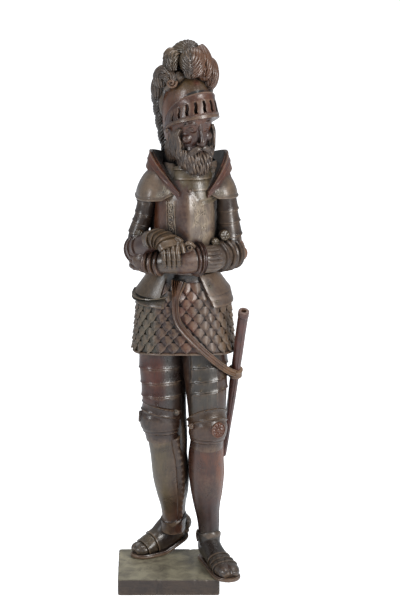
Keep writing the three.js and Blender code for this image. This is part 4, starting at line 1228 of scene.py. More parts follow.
def head(wood):
    def add(stain, *shapes):
        wood.add(stain, *[placed(shape, **HEAD) for shape in shapes])

    skin_tone = between(even(0.24, 0.145, 0.12), even(0.34, 0.29, 0.265), lambda p: 0.3 * smooth(p[:, 2], 622, 640))
    flesh = [
        limb([(0, 4, 556, 19, 20), (0, 2, 585, 18, 20), (0, 0, 606, 20, 23)], sides=40, count=10),
        ball((0, -3, 617), (24.5, 30, 36), sides=64, high=36, nod=8),
        ball((0, -26.5, 637), (19, 6.5, 5), sides=32, high=14),
        ball((0, -22.5, 598), (15, 11, 11), sides=32, high=16),
    ]
    nose = [
        (0, -30.5, 634, 3.0, 3.0),
        (0, -34.0, 626, 2.3, 3.0),
        (0, -37.0, 618, 2.5, 3.4),
        (0, -39.6, 611.5, 3.4, 3.6),
        (0, -39.0, 608.4, 3.8, 3.0),
        (0, -35.5, 606.0, 3.6, 2.6),
    ]
    upper_lip = [(-5.4, -31.8, 598.0, 1.1, 1.0), (0, -34.4, 599.2, 1.9, 1.5), (5.4, -31.8, 598.0, 1.1, 1.0)]
    lower_lip = [(-4.6, -31.8, 595.4, 1.2, 1.1), (0, -33.9, 594.8, 2.0, 1.8), (4.6, -31.8, 595.4, 1.2, 1.1)]
    flesh += [
        limb(nose, sides=28, count=18),
        limb(upper_lip, front=UP, sides=16, count=9),
        limb(lower_lip, front=UP, sides=16, count=9),
    ]
    for side in (-1, 1):
        brow = [
            (side * 3.6, -31.2, 632.6, 1.8, 1.6),
            (side * 9, -31.8, 634.6, 2.2, 2.0),
            (side * 15, -29.4, 634.2, 1.9, 1.8),
            (side * 20, -24.5, 630.6, 1.1, 1.1),
        ]
        flesh += [
            ball((side * 3.7, -35.4, 608.2), (2.2, 2.8, 2.2), sides=16, high=9),
            ball((side * 13.5, -24.5, 614.5), (8, 6.2, 6.5), sides=24, high=12, roll=side * 14),
            limb(brow, front=UP, sides=16, count=12),
        ]
    face = blended(flesh, 0.75, 2)
    sockets = [ball((side * 10.4, -32.2, 626.4), (6.4, 5.0, 5.0), sides=30, high=16) for side in (-1, 1)]
    mouth_line = limb([(-5.6, -35, 596.9, 0.5, 2.0), (0, -37, 597.2, 0.5, 2.0), (5.6, -35, 596.9, 0.5, 2.0)], front=(0, -1, 0), sides=12, count=8)
    nostrils = [ball((side * 2.1, -37.6, 605.2), (1.0, 1.7, 1.3), sides=12, high=7) for side in (-1, 1)]
    add(skin_tone, combined(face, [*sockets, mouth_line, *nostrils], "DIFFERENCE"))
    for side in (-1, 1):
        lids = []
        for lift, depth, thick in ((2.0, 0.2, 1.05), (-1.9, -0.3, 0.8)):
            rows = [
                (side * 5.2, -27.6, 626.2 + 0.1 * lift, thick * 0.6, thick * 0.6),
                (side * 8.0, -30.0 - depth, 626.4 + lift, thick, thick),
                (side * 11.0, -30.2 - depth, 626.4 + lift * 1.05, thick, thick),
                (side * 14.0, -28.0 - depth, 626.0 + 0.7 * lift, thick, thick),
                (side * 16.4, -25.2, 625.4, thick * 0.6, thick * 0.6),
            ]
            lids.append(limb(rows, front=UP, sides=12, count=14))
        eye = ball((side * 10.6, -24.2, 626.3), (5.4, 5.6, 5.2), sides=28, high=16)
        add(skin_tone, eye, *lids)

    def grooves(n, size, slant=5):
        return lambda a, v: size * (abs(np.cos(0.5 * n * a + slant * v)) ** 0.7 - 0.6)

    mane = between(even(0.20, 0.145, 0.12), even(0.32, 0.29, 0.265), lambda p: 0.3 + 0 * p[:, 0])
    add(mane, ball((0, -18, 583), (21.6, 17.8, 20), sides=110, high=30, nod=-14, relief=grooves(30, 0.10)))
    add(mane, ball((0, -16, 570), (17, 16.5, 14.5), sides=100, high=26, relief=grooves(26, 0.11)))

    def ringlets(count, start, end, rings, wide, flutter):
        """Rows of short curling locks round the jaw, each row lower and further in."""
        for k in range(count):
            a = math.radians(start + (end - start) * k / (count - 1))
            s, c = math.sin(a), math.cos(a)
            points = []
            for j, (out, ahead, low, sag) in enumerate(rings):
                sway = flutter * math.sin(2.1 * j + 1.7 * k)
                points.append((out * s + sway * c, -12.5 - ahead * c - sway * s, low - sag * c))
            add(mane, lock(points, wide, strands=3, deep=0.2))

    outer = [(22.4, 20.5, 604, 8), (23.4, 24.2, 597, 7), (22.6, 25.4, 589, 5), (20.6, 24.6, 581, 4)]
    middle = [(22.2, 23.6, 589, 4), (20.6, 25.0, 581.5, 4), (17.6, 23.6, 574, 4), (14.4, 20.4, 567.5, 4)]
    inner = [(17.6, 22.0, 577, 3), (15.2, 21.2, 570, 3), (11.6, 18.6, 564.5, 2.5), (7.4, 13.8, 560.5, 1.5)]
    ringlets(19, -88, 88, outer, 2.9, 1.3)
    ringlets(16, -80, 80, middle, 2.9, 1.3)
    ringlets(11, -70, 70, inner, 2.7, 1.1)
    for side in (-1, 1):
        for lift, wide in ((0.0, 2.5), (2.2, 2.1), (-2.4, 2.3)):
            sweep = [
                (side * 1.0, -36.6, 603.2 + 0.3 * lift),
                (side * 5.5, -37.0, 602.2 + 0.5 * lift),
                (side * 10.5, -34.8, 599.0 + 0.8 * lift),
                (side * 15.0, -31.0, 594.0 + lift),
                (side * 18.4, -27.8, 588.6 + 1.2 * lift),
            ]
            add(mane, lock(sweep, wide, strands=4, flat=0.9))
        add(mane, ball((side * 20.3, -8, 602), (7.8, 14.6, 21), sides=80, high=26, nod=10, relief=grooves(24, 0.12)))
        add(mane, ball((side * 18, 8, 592), (8.8, 13, 19), sides=80, high=24, relief=grooves(20, 0.12)))
        for k in range(8):
            y = -22 + 4.6 * k
            x = 25.2 if k < 5 else 25.2 - 1.4 * (k - 4)
            points = []
            for j in range(6):
                sway = 1.5 * math.sin(1.9 * j + 2.3 * k)
                points.append((side * (x - (2.4 if j in (0, 5) else 0) + 0.4 * sway), y + sway, 627 - 8.2 * j - 0.8 * k))
            add(mane, lock(points, 2.9, strands=3, deep=0.2))
    for k in range(11):
        a = math.radians(25 + 13 * k)
        s, c = math.sin(a), math.cos(a)
        sway = 1.3 * (-1) ** k
        points = [
            (22 * c, 5 + 20 * s, 612),
            (21 * c + sway, 6 + 21.5 * s, 600),
            (19.5 * c - sway, 7 + 21 * s, 588),
            (18 * c, 7 + 18 * s, 575),
        ]
        add(mane, lock(points, 3.2))
    helmet(wood, add)


def helmet(wood, add):
    bowl = [
        (1, 9, 603, 24.4, 27.4),
        (1, 8.4, 607, 26.4, 30),
        (1, 7, 618, 28.5, 34),
        (1, 4, 636, 30.2, 38),
        (1, 3, 655, 29.5, 37.5),
        (1, 3, 672, 25, 32.5),
        (1, 4, 685, 16.5, 23),
        (1, 4, 692, 8, 11),
    ]

    def comb(t, angle, p):
        ridge = bump(abs(np.cos(angle)), 0.07) * smooth(p[..., 2], 640, 664)
        rim = 0.9 * bump(p[..., 2] - 606, 1.3)
        return 0.6 * ridge + rim

    rust = between(even(0.36, 0.205, 0.10), even(0.33, 0.29, 0.20), lambda p: 0.8 * smooth(p[:, 2], 664, 684))
    rust = between(rust, even(0.24, 0.28, 0.29), patch((40, -12, 676), 6))
    rust = between(rust, even(0.40, 0.22, 0.21), patch((37, -14, 684), 4.5))
    add(rust, limb(bowl, sides=120, count=52, relief=comb))

    def edge(a):
        ahead = np.maximum(0, np.cos(a * 0.86))
        return ahead, 617 + 28.4 * ahead**1.2, 622 + 55 * ahead**0.8

    def visor(inner, proud):
        def face(u, v):
            u, v = np.broadcast_arrays(u, v)
            a = np.radians((2 * u - 1) * 97)
            ahead, low, high = edge(a)
            z = low + (high - low) * v
            frames = 0.7 * abs(np.cos(math.pi * np.degrees(a) / 15 + math.pi / 2)) ** 0.5 * (v > 0.2) * (v < 0.72)
            frames = frames * (abs(a) < 1.25)
            rims = 1.0 * bump(v - 0.17, 0.025) + 0.9 * bump(v - 0.975, 0.03) + 0.6 * (v < 0.17)
            reach = 33.6 + 16.4 * ahead**1.6 * (1 - 0.50 * v) - 1.5 * v - inner + proud * (frames + rims)
            return np.stack([reach * np.sin(a) * 0.93, 2 - reach * np.cos(a), z], -1)

        return face

    shell = plate(visor(0, 1), visor(9, 0), 190, 44)
    cuts = []
    for k in range(-4, 5):
        a = math.radians(15 * k)
        ahead, low, high = edge(a)
        foot_of = low + 0.2 * (high - low)
        tall = 0.46 * (high - low)
        wave = [(0.7, 0.0), (-0.3, 0.3), (0.8, 0.6), (-0.4, 1.0)]
        rows = [(x, -47, foot_of + tall * f, 2.2, 14 - 4.5 * ahead**2) for x, f in wave]
        cuts.append(placed(limb(rows, sides=12, count=8, power=4), turn=math.degrees(a)))
    bars = between(even(0.29, 0.165, 0.10), PURPLE, lambda p: 1 - smooth(p[:, 2], 640, 655))
    add(bars, combined(shell, cuts, "DIFFERENCE"))
    for side in (-1, 1):
        boss = placed(stud(3.4, 2.4, 18), nod=90, turn=side * 90)
        add(bars, placed(boss, at=(side * 31.5, -0.5, 622)))


def feather(rows, barbs=9, depth=1.3, slant=3.0, parting=math.pi / 2):
    """A curled plume: barbs sweep back on both sides of the shaft down its front."""

    def relief(t, angle, p):
        off = np.arctan2(np.sin(angle - parting), np.cos(angle - parting))
        barb = abs(np.sin(barbs * 0.5 * abs(off) + slant * t)) ** 0.6
        return depth * (barb - 0.7) - 1.5 * bump(off, 0.09)

    return limb(rows, sides=120, count=44, relief=relief)


def plumes(wood):
    dusk = between(even(0.21, 0.165, 0.125), OLIVE, lambda p: 0.6 * smooth(p[:, 2], 696, 716) * (1 - smooth(p[:, 0], 16, 26)))
    warm = between(dusk, ORANGE, lambda p: 0.35 * smooth(p[:, 0], 28, 36))

    def grooves(n, size, slant=4):
        return lambda a, v: size * (abs(np.cos(0.5 * n * a + slant * v)) ** 0.7 - 0.6)

    centre = [
        (26, 12, 688, 14, 9),
        (24, 14, 702, 19.5, 15),
        (25, 10, 714.5, 22, 18.5),
        (27, 3, 723, 16, 14.5),
        (28, -4, 726, 7, 7),
    ]
    front = [
        (30, -3, 725, 8, 7),
        (31, -9, 719, 15, 12),
        (32, -13, 709, 16, 12.5),
        (32, -17, 701, 13.5, 10.5),
        (31, -20, 696, 10, 7),
        (31, -20, 693.5, 5.5, 3.6),
    ]
    wood.add(dusk, feather(centre, barbs=20, slant=3.4))
    wood.add(warm, feather(front, barbs=18, slant=4.6, parting=math.pi / 2 + 0.12))
    for k in range(3):
        x = 25.5 + 5.6 * k
        wood.cut(ball((x, -26.5 + 1.2 * abs(k - 1), 697.2), (1.9, 3.4, 2.4), sides=14, high=8))
    left_lobe = [(16, 12, 700, 9, 14), (9, 6, 710, 10.5, 16), (7, -1, 713, 10.5, 13), (6, -7, 706, 8, 9), (7, -9, 699, 5, 6)]
    wood.add(dusk, feather(left_lobe, barbs=13, slant=4.2))
    olive = between(dusk, OLIVE, lambda p: 0.8 + 0 * p[:, 0])
    wood.add(olive, ball((2, 9, 703), (8.5, 13, 12), sides=60, high=18, relief=grooves(7, 0.05)))
    right_lobe = [(38, 8, 724, 9, 13), (45, 4, 716, 9.5, 15), (48.5, -1, 706, 9.5, 13), (49, -5, 697, 8, 9), (47, -7, 690, 5, 6)]
    wood.add(warm, feather(right_lobe, barbs=13, slant=4.2))
    # Left curl: it rolls forward and ends in a spiral.
    curl = [
        (-3, 12, 677, 9, 8),
        (-8, 8, 686, 10.5, 11),
        (-4.5, 0, 694, 10.5, 10),
        (1.5, -7, 692.5, 9.5, 9),
        (4.5, -10, 686, 7.5, 7.5),
        (4.5, -9, 680, 4.5, 5),
    ]
    wood.add(dusk, feather(curl, barbs=15, slant=4.4))
    wood.add(dusk, ball((-8, 6, 685.5), (10, 14, 12.5), sides=80, high=22, relief=grooves(15, 0.1, 5)))
    spiral = scroll(6.6, 1.35, -1, 0.4)
    points = np.column_stack([spiral[:, 0] + 5, -15.8 - 0.12 * spiral[:, 1], spiral[:, 1] + 685])
    wood.add(between(warm, ORANGE, lambda p: 0.35 + 0 * p[:, 0]), thread(points, 1.9, 8))
    wood.add(warm, ball((5, -8, 685), (7.4, 6.4, 7.4), sides=40, high=16, relief=grooves(9, 0.12)))
    # Right curl and the small ones under it.
    curl = [(44, 10, 700, 8, 10), (52, 8, 703, 10, 12), (56, 4, 694, 9.5, 12), (55, 2, 683, 9, 10), (50, 1, 676, 7.5, 8), (46, 1, 677, 4, 5)]
    wood.add(warm, feather(curl, barbs=13, slant=4.4))
    wood.add(dusk, ball((51, 11, 684), (9, 13, 13), sides=80, high=22, relief=grooves(13, 0.1, 5)))
    wood.add(dusk, ball((51, 13, 670), (7.5, 10, 10), sides=60, high=18, relief=grooves(11, 0.1)))
    wood.add(warm, ball((46, -5, 692), (7.5, 7, 8), sides=60, high=18, relief=grooves(10, 0.12)))
    # The base that all of them grow from; its near-black balls are painted shade between the plumes and behind the
    # helmet.
    wood.add(PAINTED_SHADE, ball((25, 8, 692), (24, 17, 10), sides=40, high=16))
    wood.add(PAINTED_SHADE, ball((14, -7, 691), (8, 7, 8), sides=24, high=10))
    wood.add(DARK, ball((3, 10, 678), (11, 14, 12), sides=32, high=14))
    wood.add(dusk, ball((-12, 20, 671), (9.2, 12, 17), sides=80, high=24, roll=8, relief=grooves(12, 0.1, 6)))
    wood.add(PAINTED_SHADE, ball((0, 20, 655), (12, 14, 30), sides=30, high=14))
    tail = [
        (-13.5, 22, 668),
        (-13.5, 27, 655),
        (-11.5, 30, 640),
        (-9, 33, 624),
        (-6, 35, 606),
        (-2, 36, 588),
        (3, 34, 570),
        (8, 30, 556),
    ]
    rows = [(*p, 6.9, 6.9) for p in tail]

    def twist(t, angle, p):
        return 2.1 * (abs(np.cos(angle - 2.9 * t)) ** 0.6 - 0.6) + 0.4 * np.cos(9 * angle - 26 * t)

    wood.add(between(DARK, SLATE, lambda p: 0.4 + 0 * p[:, 0]), limb(rows, sides=64, count=110, relief=twist))


# Sword strap across the skirt, with a loop round the scabbard.


SHEATH = {"mouth": np.array([97.6, -38, 388.0]), "tip": np.array([72.6, 50, 158.0])}
LOOP = 0.415


def sheath_at(t):
    return SHEATH["mouth"] + (SHEATH["tip"] - SHEATH["mouth"]) * t


def sheath_half(t):
    return 6.8 - 0.9 * t - 2.3 * t * t


def strap(wood):
    def on_skirt(x, z, more):
        angles = np.linspace(-math.pi, 0, 361)
        line = skirt_at(angles, z)
        best = angles[abs(line[:, 0] - x).argmin()]
        return (x, float(skirt_at(best, z, more)[1]), z)

    rows = [
        (14, -30, 426),
        (11.5, -34.5, 414),
        on_skirt(9.5, 394, 5.5),
        on_skirt(14, 371, 6),
        on_skirt(34, 346, 6.5),
        (59, -35, 320),
        (77, -22, 302),
        (88, -12, 293.5),
    ]
    rows = np.array(rows, float)
    ts = np.linspace(0, len(rows) - 1, max(20, round(100 * DETAIL)))
    middle = through(rows, ts)
    along = unit(np.gradient(middle, axis=0))
    outward = np.stack([0.5 * (middle[:, 0] - SKIRT["x"]) / 40, -np.ones(len(ts)), 0.15 * np.ones(len(ts))], 1)
    side = unit(np.cross(unit(outward), along))
    face = np.cross(along, side)
    fan = 1 - smooth(ts, 0.1, 1.9)
    half = 4.4 + 5.0 * fan
    profile = [(-1.0, -4.5), (1.0, -4.5), (1.03, 0.2), (0.98, 1.1), (0.80, 1.2), (0.66, 0.3), (0.5, 0.2), (0.36, 0.15)]
    profile += [(0.22, 0.15), (0.08, 0.2), (0.0, -0.5), (-0.12, 0.15), (-0.26, 0.15), (-0.4, 0.1), (-0.56, 0.2)]
    profile += [(-0.70, 0.3), (-0.84, 1.0), (-0.98, 0.9), (-1.03, 0.2)]
    rings = []
    for w, h in profile:
        fold = 2.2 * fan * np.cos(7 * math.pi * w) if h > -1 else 0 * fan
        rings.append(middle + (w * half)[:, None] * side + (h + fold)[:, None] * face)
    leather = between(even(0.30, 0.20, 0.135), TAN, lambda p: smooth(p[:, 0], 50, 80))
    wood.add(leather, skin(np.stack(rings, 1)))
    start, end = sheath_at(LOOP - 0.024), sheath_at(LOOP + 0.024)
    size = sheath_half(LOOP) + 3.2
    shares, grow = (0, 0.1, 0.3, 0.7, 0.9, 1.0), (-1.2, 0.5, 0.1, 0.1, 0.5, -1.2)
    loop = [(*(start + (end - start) * f), size + g, size + g) for f, g in zip(shares, grow)]
    at = limb_at(loop)
    wood.add(TAN, skin(at(np.arange(6)[:, None], around(40)[None, :])))
    small = sheath_half(LOOP) + 0.4
    bore = [(*sheath_at(0), 7.2, 7.2), (*sheath_at(LOOP), small, small), (*sheath_at(1), 5, 5)]
    wood.cut(limb(bore, sides=36, count=4))


def scabbard_shape():
    shares = np.linspace(0, 1, 11)
    rows = [(*sheath_at(t), sheath_half(t), sheath_half(t)) for t in shares]

    def seam(t, angle, p):
        ridge = 0.45 * bump(angle - 1.2, 0.09) - 0.35 * bump(angle - 1.35, 0.06)
        return ridge + 0.12 * np.cos(3 * angle + 2 * t)

    body = limb(rows, sides=72, count=60, relief=seam)
    rim = [(*sheath_at(t), r, r) for t, r in ((0.0, 6.4), (0.003, 7.1), (0.012, 7.3), (0.022, 7.1), (0.03, 7.4), (0.036, 6.2))]
    at = limb_at(rim)
    collar = skin(at(np.arange(len(rim))[:, None], around(44)[None, :]))
    hole = limb([(*sheath_at(-0.05), 3.6, 3.6), (*sheath_at(0.12), 3.4, 3.4)], sides=24, count=3)
    whole = combined(body, [collar], "UNION")
    return combined(whole, [hole], "DIFFERENCE")


# Plinth: a sawn slab with chipped edges.


def lumps(p, size, seed):
    """Smooth bumps between about -1 and 1 at any points, from a few fixed waves."""
    dice = np.random.default_rng(seed)
    value = np.zeros(p.shape[:-1])
    for _ in range(7):
        way = unit(dice.normal(size=3))
        value += np.sin((p @ way) * TURN / (size * dice.uniform(0.6, 1.6)) + dice.uniform(0, TURN))
    return value / 3.2


def plinth_shape():
    """Rings from the underside up, round a slab whose upper edges are worn and chipped."""
    long, deep, tall = PLINTH
    nx, ny = 110, 90
    t = np.concatenate(
        [
            np.stack([np.linspace(-1, 1, nx, endpoint=False), -np.ones(nx)], 1),
            np.stack([np.ones(ny), np.linspace(-1, 1, ny, endpoint=False)], 1),
            np.stack([np.linspace(1, -1, nx, endpoint=False), np.ones(nx)], 1),
            np.stack([-np.ones(ny), np.linspace(1, -1, ny, endpoint=False)], 1),
        ]
    )
    flat = t * (long / 2, deep / 2)
    corner = np.minimum(abs(abs(t[:, 0]) - 1) * long / 2, 9) + np.minimum(abs(abs(t[:, 1]) - 1) * deep / 2, 9)
    heights = [0, 0.7, 3, 7, 11, 15, 18.5, 20.2, 21.2, 21.8, 22]
    rings = []
    for z in heights:
        inset = 0.8 * (z == 0) + 0.15 + 0.5 * max(0, z - 20.9) + 0.25 * (z >= 21.8)
        p = np.column_stack([flat, np.full(len(flat), z)])
        wear = np.maximum(0, lumps(p * (1, 1, 0.3), 9, 5) - 0.55) * 1.7 * smooth(np.array(z), 15, 21.5)
        chips = np.maximum(0, lumps(p * (1, 1, 0.6), 4.2, 9) - 0.9) * 2.0 * smooth(np.array(z), 18, 21.5)
        round_off = 1.0 * np.exp(-corner / 1.5)
        draw = inset + wear + chips + round_off + 0.12 * (1 + lumps(p, 14, 3))
        crack = 0.9 * bump(p[:, 0] + 15.4 + 0.8 * math.sin(z * 0.7), 0.7) * (p[:, 1] < -deep / 2 + 0.01)
        draw = np.maximum(0, draw + crack)
        pull = 1 - draw[:, None] / np.array([long / 2, deep / 2])
        rings.append(np.column_stack([flat * pull, np.full(len(flat), z)]))
    top = rings[-1].copy()
    for share in (0.985, 0.95, 0.88, 0.78, 0.66, 0.53, 0.4, 0.26, 0.12):
        ring_points = top * (share, share, 1)
        ring_points[:, 2] = 22 - 0.28 * (1 + lumps(ring_points, 16, 4)) * (1 - share) ** 0.3
        rings.append(ring_points)
    return skin(rings)


# Finish: the wood's colours, wear and grain, with painted shade darkening the hollows and a painted highlight on the
# edges.


def value_at(socket, value):
    socket.default_value = value


def group_of(name, inputs, outputs):
    tree = bpy.data.node_groups.new(name, "ShaderNodeTree")
    for label, kind, default in inputs:
        socket = tree.interface.new_socket(label, in_out="INPUT", socket_type=kind)
        socket.default_value = default
    for label, kind in outputs:
        tree.interface.new_socket(label, in_out="OUTPUT", socket_type=kind)
    return tree, tree.nodes.new("NodeGroupInput"), tree.nodes.new("NodeGroupOutput")


def math_node(tree, operation, first, second=None, clamp=False):
    node = tree.nodes.new("ShaderNodeMath")
    node.operation = operation
    node.use_clamp = clamp
    for slot, value in enumerate((first, second)):
        if value is None:
            continue
        if isinstance(value, (int, float)):
            node.inputs[slot].default_value = value
        else:
            tree.links.new(value, node.inputs[slot])
    return node.outputs[0]


def mixed(tree, factor, first, second, blend="MIX"):
    node = tree.nodes.new("ShaderNodeMix")
    node.data_type = "RGBA"
    node.blend_type = blend
    node.clamp_factor = True
    for socket, value in ((node.inputs["Factor"], factor), (node.inputs["A"], first), (node.inputs["B"], second)):
        if isinstance(value, (int, float)):
            socket.default_value = value
        elif isinstance(value, tuple):
            socket.default_value = (*value, 1.0)
        else:
            tree.links.new(value, socket)
    return node.outputs["Result"]


def range_of(tree, value, low, high, to_low=0.0, to_high=1.0):
    node = tree.nodes.new("ShaderNodeMapRange")
    node.clamp = True
    for name, number in (("From Min", low), ("From Max", high), ("To Min", to_low), ("To Max", to_high)):
        node.inputs[name].default_value = number
    tree.links.new(value, node.inputs["Value"])
    return node.outputs["Result"]


def noise(tree, vector, scale, detail=4.0, roughness=0.55, distortion=0.0):
    node = tree.nodes.new("ShaderNodeTexNoise")
    node.inputs["Scale"].default_value = scale
    node.inputs["Detail"].default_value = detail
    node.inputs["Roughness"].default_value = roughness
    node.inputs["Distortion"].default_value = distortion
    tree.links.new(vector, node.inputs["Vector"])
    return node.outputs["Fac"]


def stretched(tree, vector, scale):
    node = tree.nodes.new("ShaderNodeVectorMath")
    node.operation = "MULTIPLY"
    node.inputs[1].default_value = scale
    tree.links.new(vector, node.inputs[0])
    return node.outputs[0]


def grain_group():
    """Long fibres up the block, fine pores, and cloudy patches of old stain."""
    inputs = [("Vector", "NodeSocketVector", (0, 0, 0)), ("Along", "NodeSocketVector", (1, 1, 0.12))]
    outputs = [("Fibre", "NodeSocketFloat"), ("Pores", "NodeSocketFloat"), ("Clouds", "NodeSocketFloat"), ("Height", "NodeSocketFloat")]
    tree, source, result = group_of("wood_grain", inputs, outputs)
    scaled = tree.nodes.new("ShaderNodeVectorMath")
    scaled.operation = "MULTIPLY"
    tree.links.new(source.outputs["Vector"], scaled.inputs[0])
    tree.links.new(source.outputs["Along"], scaled.inputs[1])
    long = scaled.outputs[0]
    fibre = noise(tree, long, 420, 5, 0.6, 0.4)
    pores = noise(tree, stretched(tree, long, (1, 1, 0.5)), 1500, 2, 0.5)
    clouds = noise(tree, source.outputs["Vector"], 46, 4, 0.6, 0.6)
    dark_pores = range_of(tree, pores, 0.58, 0.72)
    height = math_node(tree, "SUBTRACT", math_node(tree, "MULTIPLY", fibre, 0.7), math_node(tree, "MULTIPLY", dark_pores, 0.5))
    tree.links.new(fibre, result.inputs["Fibre"])
    tree.links.new(dark_pores, result.inputs["Pores"])
    tree.links.new(clouds, result.inputs["Clouds"])
    tree.links.new(height, result.inputs["Height"])
    return tree


def wear_group():
    """Lighter edges, partly rubbed wear and partly a painted highlight, and darker hollows, partly dirt and partly
    painted shade, from the carving's own shape, broken up by noise.
    """
    inputs = [("Vector", "NodeSocketVector", (0, 0, 0)), ("Amount of wear and highlight", "NodeSocketFloat", 1.0), ("Amount of dirt and shade", "NodeSocketFloat", 1.0)]
    outputs = [("Edges", "NodeSocketFloat"), ("Hollow dirt and shade", "NodeSocketFloat"), ("Scuffs", "NodeSocketFloat")]
    tree, source, result = group_of("wear", inputs, outputs)
    vector = source.outputs["Vector"]
    edge = tree.nodes.new("ShaderNodeAttribute")
    edge.attribute_name = "edge"
    open_air = tree.nodes.new("ShaderNodeAttribute")
    open_air.attribute_name = "open"
    rough = noise(tree, vector, 260, 3, 0.6)
    edges = range_of(tree, math_node(tree, "MULTIPLY", edge.outputs["Fac"], range_of(tree, rough, 0.3, 0.6, 0.35, 1.2)), 0.12, 0.6)
    edges = math_node(tree, "MULTIPLY", edges, source.outputs["Amount of wear and highlight"], clamp=True)
    hollow_dirt_and_shade = range_of(tree, math_node(tree, "ADD", open_air.outputs["Fac"], range_of(tree, rough, 0.3, 0.7, -0.08, 0.08)), 0.62, 0.16)
    hollow_dirt_and_shade = math_node(tree, "MULTIPLY", hollow_dirt_and_shade, source.outputs["Amount of dirt and shade"], clamp=True)
    scuffs = range_of(tree, noise(tree, stretched(tree, vector, (1, 1, 0.35)), 150, 5, 0.7, 1.0), 0.6, 0.72)
    tree.links.new(edges, result.inputs["Edges"])
    tree.links.new(hollow_dirt_and_shade, result.inputs["Hollow dirt and shade"])
    tree.links.new(scuffs, result.inputs["Scuffs"])
    return tree


GRAIN = grain_group()
WEAR = wear_group()


def wood_finish(name, stain=None, wear_and_highlight=1.0, dirt_and_shade=1.0, dust=0.0, gloss=0.30, along=(1, 1, 0.12), bump_height=0.35):
    """Old waxed walnut. The stain is the carving's own, or one colour."""
    material = bpy.data.materials.new(name)
    material.use_nodes = True
    tree = material.node_tree
    tree.nodes.clear()
    shader = tree.nodes.new("ShaderNodeBsdfPrincipled")
    output = tree.nodes.new("ShaderNodeOutputMaterial")
    tree.links.new(shader.outputs[0], output.inputs["Surface"])
    place = tree.nodes.new("ShaderNodeTexCoord").outputs["Object"]
    grain = tree.nodes.new("ShaderNodeGroup")
    grain.node_tree = GRAIN
    grain.inputs["Along"].default_value = along
    wear = tree.nodes.new("ShaderNodeGroup")
    wear.node_tree = WEAR
    wear.inputs["Amount of wear and highlight"].default_value = wear_and_highlight
    wear.inputs["Amount of dirt and shade"].default_value = dirt_and_shade
    tree.links.new(place, grain.inputs["Vector"])
    tree.links.new(place, wear.inputs["Vector"])
    if stain is None:
        colour = tree.nodes.new("ShaderNodeAttribute")
        colour.attribute_name = "stain"
        base = colour.outputs["Color"]
    else:
        base = tuple(shade(*stain))
    cloud = range_of(tree, grain.outputs["Clouds"], 0.35, 0.68)
    dim = mixed(tree, 1.0, base, (0.62, 0.54, 0.52), "MULTIPLY")
    warm = mixed(tree, 1.0, base, (1.3, 1.18, 1.0), "MULTIPLY")
    base = mixed(tree, cloud, dim, warm)
    fibre = math_node(tree, "MULTIPLY", range_of(tree, grain.outputs["Fibre"], 0.42, 0.7), 0.4)
    base = mixed(tree, fibre, base, (0.012, 0.007, 0.005))
    base = mixed(tree, math_node(tree, "MULTIPLY", grain.outputs["Pores"], 0.5), base, (0.008, 0.005, 0.004))
    base = mixed(tree, math_node(tree, "MULTIPLY", wear.outputs["Scuffs"], 0.12), base, (0.14, 0.10, 0.07))
    # Lighter edges: rubbed wear and a painted highlight.
    base = mixed(tree, math_node(tree, "MULTIPLY", wear.outputs["Edges"], 0.4), base, (0.20, 0.13, 0.08))
    # Near-black hollows: dirt and painted shade.
    base = mixed(tree, math_node(tree, "MULTIPLY", wear.outputs["Hollow dirt and shade"], 0.92), base, (0.004, 0.003, 0.0025))
    if dust:
        normal = tree.nodes.new("ShaderNodeNewGeometry").outputs["Normal"]
        split = tree.nodes.new("ShaderNodeSeparateXYZ")
        tree.links.new(normal, split.inputs[0])
        upward = range_of(tree, split.outputs["Z"], 0.3, 0.95)
        patchy = math_node(tree, "MULTIPLY", upward, range_of(tree, cloud, 0.0, 0.8, 0.35, 1.0))
        base = mixed(tree, math_node(tree, "MULTIPLY", patchy, dust), base, (0.27, 0.245, 0.165))
    tree.links.new(base, shader.inputs["Base Color"])
    rough = range_of(tree, grain.outputs["Clouds"], 0.3, 0.7, gloss - 0.05, gloss + 0.12)
    rough = math_node(tree, "ADD", rough, math_node(tree, "MULTIPLY", wear.outputs["Hollow dirt and shade"], 0.4), clamp=True)
    rough = math_node(tree, "ADD", rough, math_node(tree, "MULTIPLY", wear.outputs["Scuffs"], 0.1), clamp=True)
    tree.links.new(rough, shader.inputs["Roughness"])
    shader.inputs["Specular IOR Level"].default_value = 0.6
    shader.inputs["Coat Roughness"].default_value = 0.22
    shader.inputs["Coat Weight"].default_value = 0.25
    relief = tree.nodes.new("ShaderNodeBump")
    relief.inputs["Strength"].default_value = bump_height
    relief.inputs["Distance"].default_value = 0.0006
    tree.links.new(grain.outputs["Height"], relief.inputs["Height"])
    tree.links.new(relief.outputs["Normal"], shader.inputs["Normal"])
    return material


# Masks from the carving's shape, kept on its points.


def neighbours(points, faces):
    edges = np.vstack([faces[:, [0, 1]], faces[:, [1, 2]], faces[:, [2, 0]]])
    edges = np.unique(np.sort(edges, 1), axis=0)
    return edges


def averaged(values, edges, passes=1):
    """Values on points, each taken half from its neighbours."""
    for _ in range(passes):
        total_of = np.zeros_like(values)
        count = np.zeros(len(values))
        for a, b in ((0, 1), (1, 0)):
            np.add.at(total_of, edges[:, a], values[edges[:, b]])
            np.add.at(count, edges[:, a], 1)
        count = np.maximum(1, count)
        share = total_of / (count[:, None] if values.ndim > 1 else count)
        values = 0.5 * values + 0.5 * share
    return values


def point_normals(points, faces):
    a, b, c = (points[faces[:, k]] for k in range(3))
    across = np.cross(b - a, c - a)
    normals = np.zeros_like(points)
    for k in range(3):
        np.add.at(normals, faces[:, k], across)
    return unit(normals)


def edge_mask(points, faces, edges):
    """High where the surface is sharply convex."""
    smooth_points = averaged(points, edges, 2)
    offset = ((points - smooth_points) * point_normals(points, faces)).sum(1)
    return np.clip(averaged(np.clip(offset / 0.42, -1, 1), edges, 1), 0, 1)


